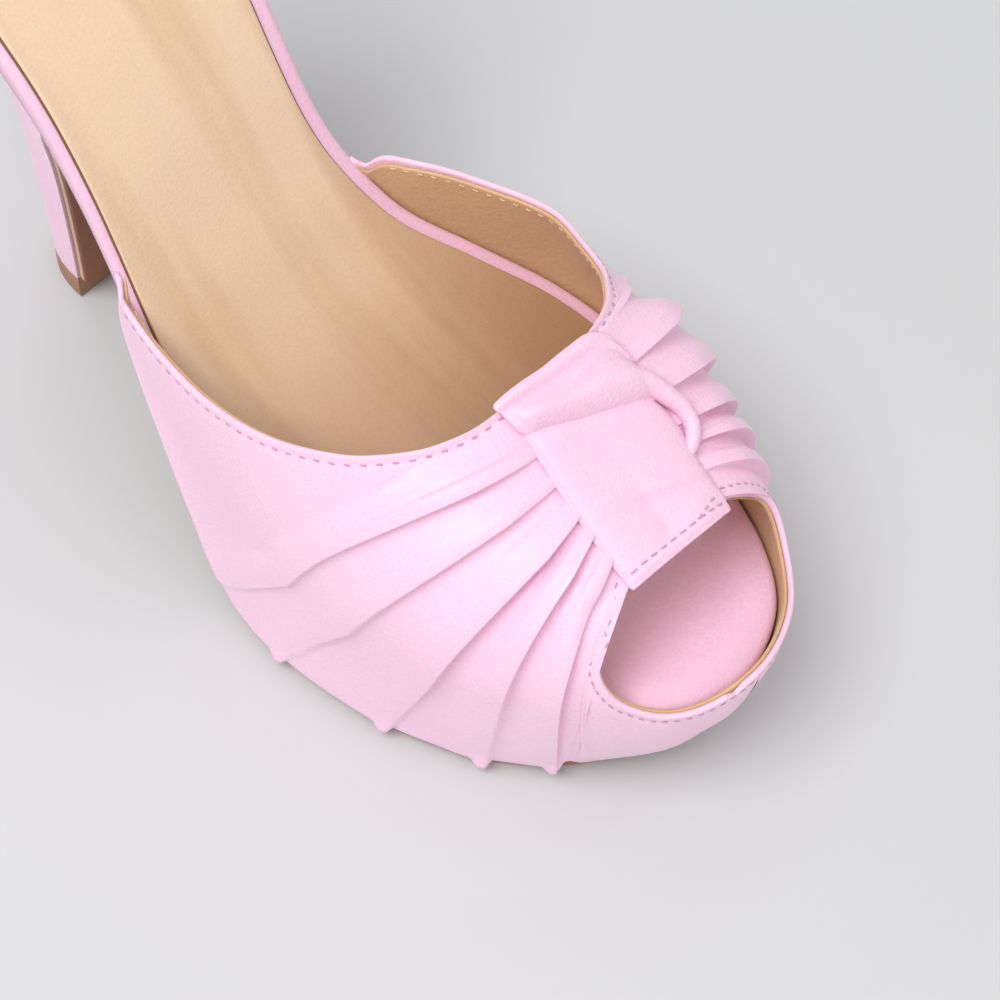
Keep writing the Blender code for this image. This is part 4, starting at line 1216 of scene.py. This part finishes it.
def fine_rows(start, stop, per=10):
    """Row numbers of a plate, crowded where its outline turns round an end."""
    crowd = np.linspace(0, 1, 26) ** 2
    rows = list(np.linspace(start, stop, int((stop - start) * per) + 1))
    if start == 0:
        rows += list(crowd)
    if stop == LAST_ROW:
        rows += list(LAST_ROW - crowd)
    return np.array(sorted({round(float(row), 4) for row in rows}))


def toe_puff(rows, inset):
    """The toe end of the insole is padded and falls off softly at its edge."""
    ahead = smooth_step((4.6 - rows) / 1.6)
    return ahead * (0.0009 * smooth_step(inset / 0.006) - 0.0004)


INSETS = (0.0022, 0.0030, 0.0040, 0.0052, 0.0066, 0.0082)
insole_cover = outline_plate("insole_cover", fine_rows(0, LAST_ROW), (0.0, 0.0), insole_top, insole_bottom,
                             0.0016, pink_pad, INSETS, toe_puff, slot="cover_leather", replaces=("insole",))


def sock_top(y):
    return insole_top(y) + FIT_GAP + SOCK_THICKNESS - 0.0004


def sock_bottom(y):
    return insole_top(y) + FIT_GAP * 0.2


SOCK_ROWS = fine_rows(SOCK_START, LAST_ROW)
SOCK_INSETS = (0.0009, 0.0016, 0.0030, 0.0050, 0.0080)
outline_plate("sock_leather_sheet", SOCK_ROWS, (SOCK_MARGIN_LATERAL, SOCK_MARGIN_MEDIAL), sock_top,
              sock_bottom, 0.0005, tan_sock, SOCK_INSETS, slot="sock_leather", replaces=("sock",))

# A dark cord along the sock's edge on the insole cover: partly the sock's dark cut edge, partly painted
# shadow that the sock's edge casts.
rims = Builder()
for side, margin in ((LATERAL, SOCK_MARGIN_LATERAL), (MEDIAL, SOCK_MARGIN_MEDIAL)):
    plan = edge(side, SOCK_ROWS, -margin + 0.00012)
    line = np.concatenate([plan, (insole_top(plan[:, 1]) + 0.00012)[:, None]], 1)
    tube(rims, line, 0.00028, around=8)
rims.make("sock_edge_and_shadow", edge_dark_and_shadow, slot="sock_leather")


def breast_line(share):
    """Point (y, z) on the heel's front line at a share of the way from tip to seat."""
    bottom = np.array([TIP_FRONT_SHARE * INSOLE_RUN, LIFT_THICKNESS + FIT_GAP])
    top_y = HEEL_BREAST_SHARE * INSOLE_RUN
    top = np.array([top_y, float(insole_bottom(top_y)) - FIT_GAP])
    spread = float(table(HEEL, HEEL_ROWS, "breast", share))
    return np.array([bottom[0] + (top[0] - bottom[0]) * spread, bottom[1] + (top[1] - bottom[1]) * share])


def breast_face(share, clear):
    """A point (y, z) at a clearance before the heel's front face, and the way forward."""
    way = breast_line(max(share - 0.02, 0.0)) - breast_line(min(share + 0.02, 1.0))
    forward = np.array([way[1], -way[0]]) / np.linalg.norm(way)
    return breast_line(share) + forward * clear, forward


def heel_start_row():
    """Edge row at the top of the heel's front face."""
    return np.interp(HEEL_BREAST_SHARE, column(EDGE, EDGE_ROWS, "run"), np.arange(len(EDGE_ROWS)))


def heel_half_width(side, share):
    spread = float(table(HEEL, HEEL_ROWS, "breast", share))
    seat = abs(float(edge(side, heel_start_row())[0][0]))
    return TIP_WIDTH / 2 + (seat - TIP_WIDTH / 2) * spread


def plate_ring(left, right, thick, radius):
    """Points round a plate's section with rounded edges, from two top corners."""
    left, right, thick = (np.asarray(v, float) for v in (left, right, thick))
    span = np.linalg.norm(right - left)
    depth = np.linalg.norm(thick)
    radius = min(radius, depth / 2, span / 4)
    turns = np.linspace(0, math.pi / 2, 5)
    ins = [radius * (1 - math.cos(t)) for t in turns]
    downs = [radius * (1 - math.sin(t)) for t in turns]
    middle = list(np.linspace(radius, span - radius, 12)[1:-1])
    top = list(zip(ins, downs)) + [(m, 0.0) for m in middle]
    top += [(span - a, b) for a, b in zip(ins[::-1], downs[::-1])]
    under = [(a, depth - b) for a, b in reversed(top)]
    way = (right - left) / span
    fall = thick / depth
    return [left + way * a + fall * b for a, b in top + under]


def build_outsole():
    build = Builder()
    rings = []
    rows = np.array(sorted(set(fine_rows(0, SHANK_END, per=9)) - {0.0}))
    run = row_run(rows)
    inset = (UPPER_WALL + LINING_GAP) * (run < row_run(PLATFORM_END)) - tuck(run) - SOLE_INSET
    left = edge(LATERAL, rows, inset)
    right = edge(MEDIAL, rows, inset)
    for a, b in zip(left, right):
        start = np.array([*a, float(sole_top(a[1]))])
        stop = np.array([*b, float(sole_top(b[1]))])
        rings.append(plate_ring(start, stop, (0, 0, -OUTSOLE_THICKNESS), 0.0007))
    for share in np.linspace(1, 0, 36):
        back, forward = breast_face(share, FIT_GAP)
        left = (-heel_half_width(LATERAL, share) + SOLE_INSET / 2, *back)
        right = (heel_half_width(MEDIAL, share) - SOLE_INSET / 2, *back)
        rings.append(plate_ring(left, right, (0, *(forward * BREAST_THICKNESS)), 0.0005))
    build.loft([build.add(ring) for ring in rings])
    build.make("outsole_leather", brown_sole, slot="outsole_leather", replaces=("outsole",), sharp=60)
    trim = Builder()
    for side in (LATERAL, MEDIAL):
        line = []
        for share in np.linspace(0.985, 0.01, 60):
            back, _ = breast_face(share, FIT_GAP + 0.0006)
            line.append((side * (heel_half_width(side, share) - SOLE_INSET / 2 + 0.00005), *back))
        tube(trim, line, 0.0006, normals=np.tile(np.array([1.0, 0, 0]), (60, 1)), flat=0.4, around=8)
    trim.make("breast_edge", edge_beige, slot="outsole_leather")


build_outsole()


def tip_outline(steps):
    """Plan of the heel's tip, lateral front corner round the back to the medial one."""
    turn = np.linspace(0, math.pi, steps + 1)
    across = -np.cos(turn)
    x = np.copysign(np.abs(across) ** (2 / HEEL_SQUARENESS), across) * TIP_WIDTH / 2
    y = TIP_FRONT_SHARE * INSOLE_RUN + TIP_DEPTH * np.abs(np.sin(turn)) ** (2 / HEEL_SQUARENESS)
    return np.stack([x, y], 1)


def seat_outline(steps):
    """Plan of the heel's top on the insole's edge, in the order of the tip's outline."""
    start = heel_start_row()
    half = steps // 2
    rows = start + (LAST_ROW - start) * np.sin(math.pi / 2 * np.arange(half + 1) / half)
    return np.concatenate([edge(LATERAL, rows), edge(MEDIAL, rows[:-1][::-1])])


def inward(plan, by):
    """A plan outline pulled towards its middle by a distance."""
    middle = plan.mean(axis=0)
    return plan - unit(plan - middle) * by


def closed_loft(name, rings, material, **rest):
    """A closed piece over rings of points."""
    build = Builder()
    build.loft([build.add(ring) for ring in rings])
    return build.make(name, material, **rest)


HEEL_ARC = 60
heel_rings = []
seat = seat_outline(HEEL_ARC)
tip = tip_outline(HEEL_ARC)
backness = np.abs(np.sin(np.linspace(0, math.pi, HEEL_ARC + 1))) ** HEEL_SIDE_BEND
for share in np.concatenate([[0, 0.004, 0.010], np.linspace(0.03, 0.975, 44), [0.99, 1.0]]):
    front = float(table(HEEL, HEEL_ROWS, "breast", share))
    rear = float(table(HEEL, HEEL_ROWS, "back", share))
    plan = tip + (seat - tip) * (front + (rear - front) * backness)[:, None]
    plan = inward(plan, 0.0005 * max(0.0, 1 - share / 0.010) + 0.0006 * max(0.0, (share - 0.975) / 0.025))
    low = LIFT_THICKNESS + FIT_GAP * 0.4
    high = insole_bottom(seat[:, 1]) - FIT_GAP
    heel_rings.append(np.concatenate([plan, (low + (high - low) * share)[:, None]], 1))
closed_loft("heel_cover", heel_rings, pink_cover, slot="cover_leather", replaces=("heel_block",), sharp=50)

# Rounding of the top lift: height above the floor, how far its side lies in
LIFT_ROUNDING = (
    (0.0, 0.0006),
    (0.0002, 0.0002),
    (0.0006, 0.0),
    (LIFT_THICKNESS - 0.0006, 0.0),
    (LIFT_THICKNESS - 0.0002, 0.0001),
    (LIFT_THICKNESS, 0.0004),
)
lift_rings = []
for z, inset in LIFT_ROUNDING:
    plan = inward(tip, inset)
    lift_rings.append(np.concatenate([plan, np.full((len(plan), 1), z)], 1))
closed_loft("lift_block", lift_rings, lift_rubber, slot="lift_rubber", replaces=("top_lift",), sharp=40)


# Counter

COUNTER_STEPS = 72
COUNTER_RISES = 34


def counter_grid(grow, drop=0.0):
    """Grid of the counter's face, lateral end round to the medial end."""
    grid = []
    for step in range(2 * COUNTER_STEPS + 1):
        around = 1 - abs(step / COUNTER_STEPS - 1)
        side = LATERAL if step < COUNTER_STEPS else MEDIAL
        row = COUNTER_START + (LAST_ROW - COUNTER_START) * math.sin(math.pi / 2 * around)
        height = COUNTER_HEIGHT * float(table(COUNTER, COUNTER_ROWS, "height", around)) - drop
        lean = COUNTER_HEIGHT * float(table(COUNTER, COUNTER_ROWS, "lean", around))
        rise = np.linspace(0, 1, COUNTER_RISES + 1)
        bulge = 0.5 * UPPER_WALL * np.sin(math.pi * rise)
        offset = UPPER_WALL + LINING_GAP + bulge - lean * rise ** 2 + grow
        plan = edge(side, np.full(len(rise), row), offset)
        seat_y = float(edge(side, row)[0][1])
        z = float(insole_bottom(seat_y)) + (INSOLE_THICKNESS + height) * rise
        grid.append(np.concatenate([plan, z[:, None]], 1))
    return np.array(grid)


outer = counter_grid(0.0)
counter_normals = grid_normals(outer, counter_grid(0.001) - outer)
away = from_top(outer)
puff = PUFF_HEIGHT * smooth_step(1 - away / STITCH_INSET)
trough = 0.00018 * np.exp(-(((away - STITCH_INSET) / 0.0005) ** 2))
outer = outer + counter_normals * (puff - trough)[..., None]
seam = np.exp(-(((np.arange(len(outer)) - (len(outer) - 1) / 2) / 0.7) ** 2))[:, None]
outer = outer - counter_normals * (0.0004 * seam)[..., None]
sheet("counter_skin", outer, counter_grid(-SKIN), pink_skin, steps=6, slot="upper_leather",
      replaces=("counter",))
lining_grid = counter_grid(-LINING_TOP, drop=LINING_STEP)
sheet("counter_lining", lining_grid, counter_grid(-UPPER_WALL, drop=LINING_STEP), tan_lining, steps=4,
      slot="sock_leather")
counter_threads = Builder()
away = from_top(outer)
line = []
turned = []
for c in range(2, len(outer) - 2):
    at = np.interp(STITCH_INSET, away[c][::-1], np.arange(outer.shape[1])[::-1])
    low = int(min(at, outer.shape[1] - 2))
    line.append(outer[c, low] + (outer[c, low + 1] - outer[c, low]) * (at - low))
    turned.append(counter_normals[c, low])
stitch_row(counter_threads, np.array(line), np.array(turned))
counter_threads.make("counter_stitches", pink_thread, slot="upper_leather")

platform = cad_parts["platform"]
platform.data.materials.clear()
platform.data.materials.append(core_board)

# Camera
AZIMUTH = -0.978436219
ELEVATION = 1.03530427
ROLL = 0.158040858
CAMERA_PLACE = (-0.159130246, -0.0481261555, 0.352426392)
FOCAL_SHARE = 1.95376325
SENSOR = 36.0

back = Vector((
    math.sin(AZIMUTH) * math.cos(ELEVATION),
    -math.cos(AZIMUTH) * math.cos(ELEVATION),
    math.sin(ELEVATION),
))
level = Vector((math.cos(AZIMUTH), math.sin(AZIMUTH), 0.0))
upright = back.cross(level)
right = level * math.cos(ROLL) + upright * math.sin(ROLL)
up = upright * math.cos(ROLL) - level * math.sin(ROLL)
camera = bpy.data.cameras.new("camera")
camera.sensor_fit = "HORIZONTAL"
camera.sensor_width = SENSOR
camera.lens = FOCAL_SHARE * SENSOR
camera.clip_start = 0.01
camera_object = bpy.data.objects.new("camera", camera)
bpy.context.scene.collection.objects.link(camera_object)
pose = Matrix((
    (right.x, up.x, back.x, 0),
    (right.y, up.y, back.y, 0),
    (right.z, up.z, back.z, 0),
    (0, 0, 0, 1),
))
pose.translation = Vector(CAMERA_PLACE) + Vector(ORIGIN)
camera_object.matrix_world = pose
bpy.context.scene.camera = camera_object


# Floor and light

LIGHT_TARGET = (0.0, -0.02, 0.03)


def area_light(name, place, size, power):
    light = bpy.data.lights.new(name, "AREA")
    light.shape = "DISK"
    light.size = size
    light.energy = power
    lamp = bpy.data.objects.new(name, light)
    lamp.location = place
    lamp.rotation_euler = (Vector(LIGHT_TARGET) - Vector(place)).to_track_quat("-Z", "Y").to_euler()
    bpy.context.scene.collection.objects.link(lamp)


def floor_material():
    """A pale floor with a faint change of tone."""
    material = bpy.data.materials.new("pale_floor")
    material.use_nodes = True
    tree = material.node_tree
    place = add_node(tree, "TexCoord", {}).outputs["Object"]
    noise = add_node(tree, "TexNoise", {"Scale": 6.0, "Detail": 2.0, "Vector": place}).outputs["Fac"]
    tone = add_node(tree, "Mix", {
        "A": (0.575, 0.582, 0.594, 1.0), "B": (0.597, 0.602, 0.611, 1.0), "Factor": noise,
    }, data_type="RGBA")
    shader = tree.nodes["Principled BSDF"]
    tree.links.new(tone.outputs["Result"], shader.inputs["Base Color"])
    shader.inputs["Roughness"].default_value = 0.65
    return material


floor_mesh = bpy.data.meshes.new("floor")
floor_mesh.from_pydata([(-3, -3, 0), (3, -3, 0), (3, 3, 0), (-3, 3, 0)], [], [(0, 1, 2, 3)])
floor_mesh.materials.append(floor_material())
floor = bpy.data.objects.new("floor", floor_mesh)
bpy.context.scene.collection.objects.link(floor)

world = bpy.data.worlds.new("studio")
world.use_nodes = True
bpy.context.scene.world = world
world.node_tree.nodes["Background"].inputs["Color"].default_value = (1.0, 0.995, 0.99, 1.0)
world.node_tree.nodes["Background"].inputs["Strength"].default_value = 0.69
area_light("key", (-0.58, 0.10, 1.12), size=0.7, power=9.8)
area_light("fill", (-0.30, -0.90, 0.60), size=1.0, power=1.7)
bpy.context.scene.view_settings.view_transform = "Standard"
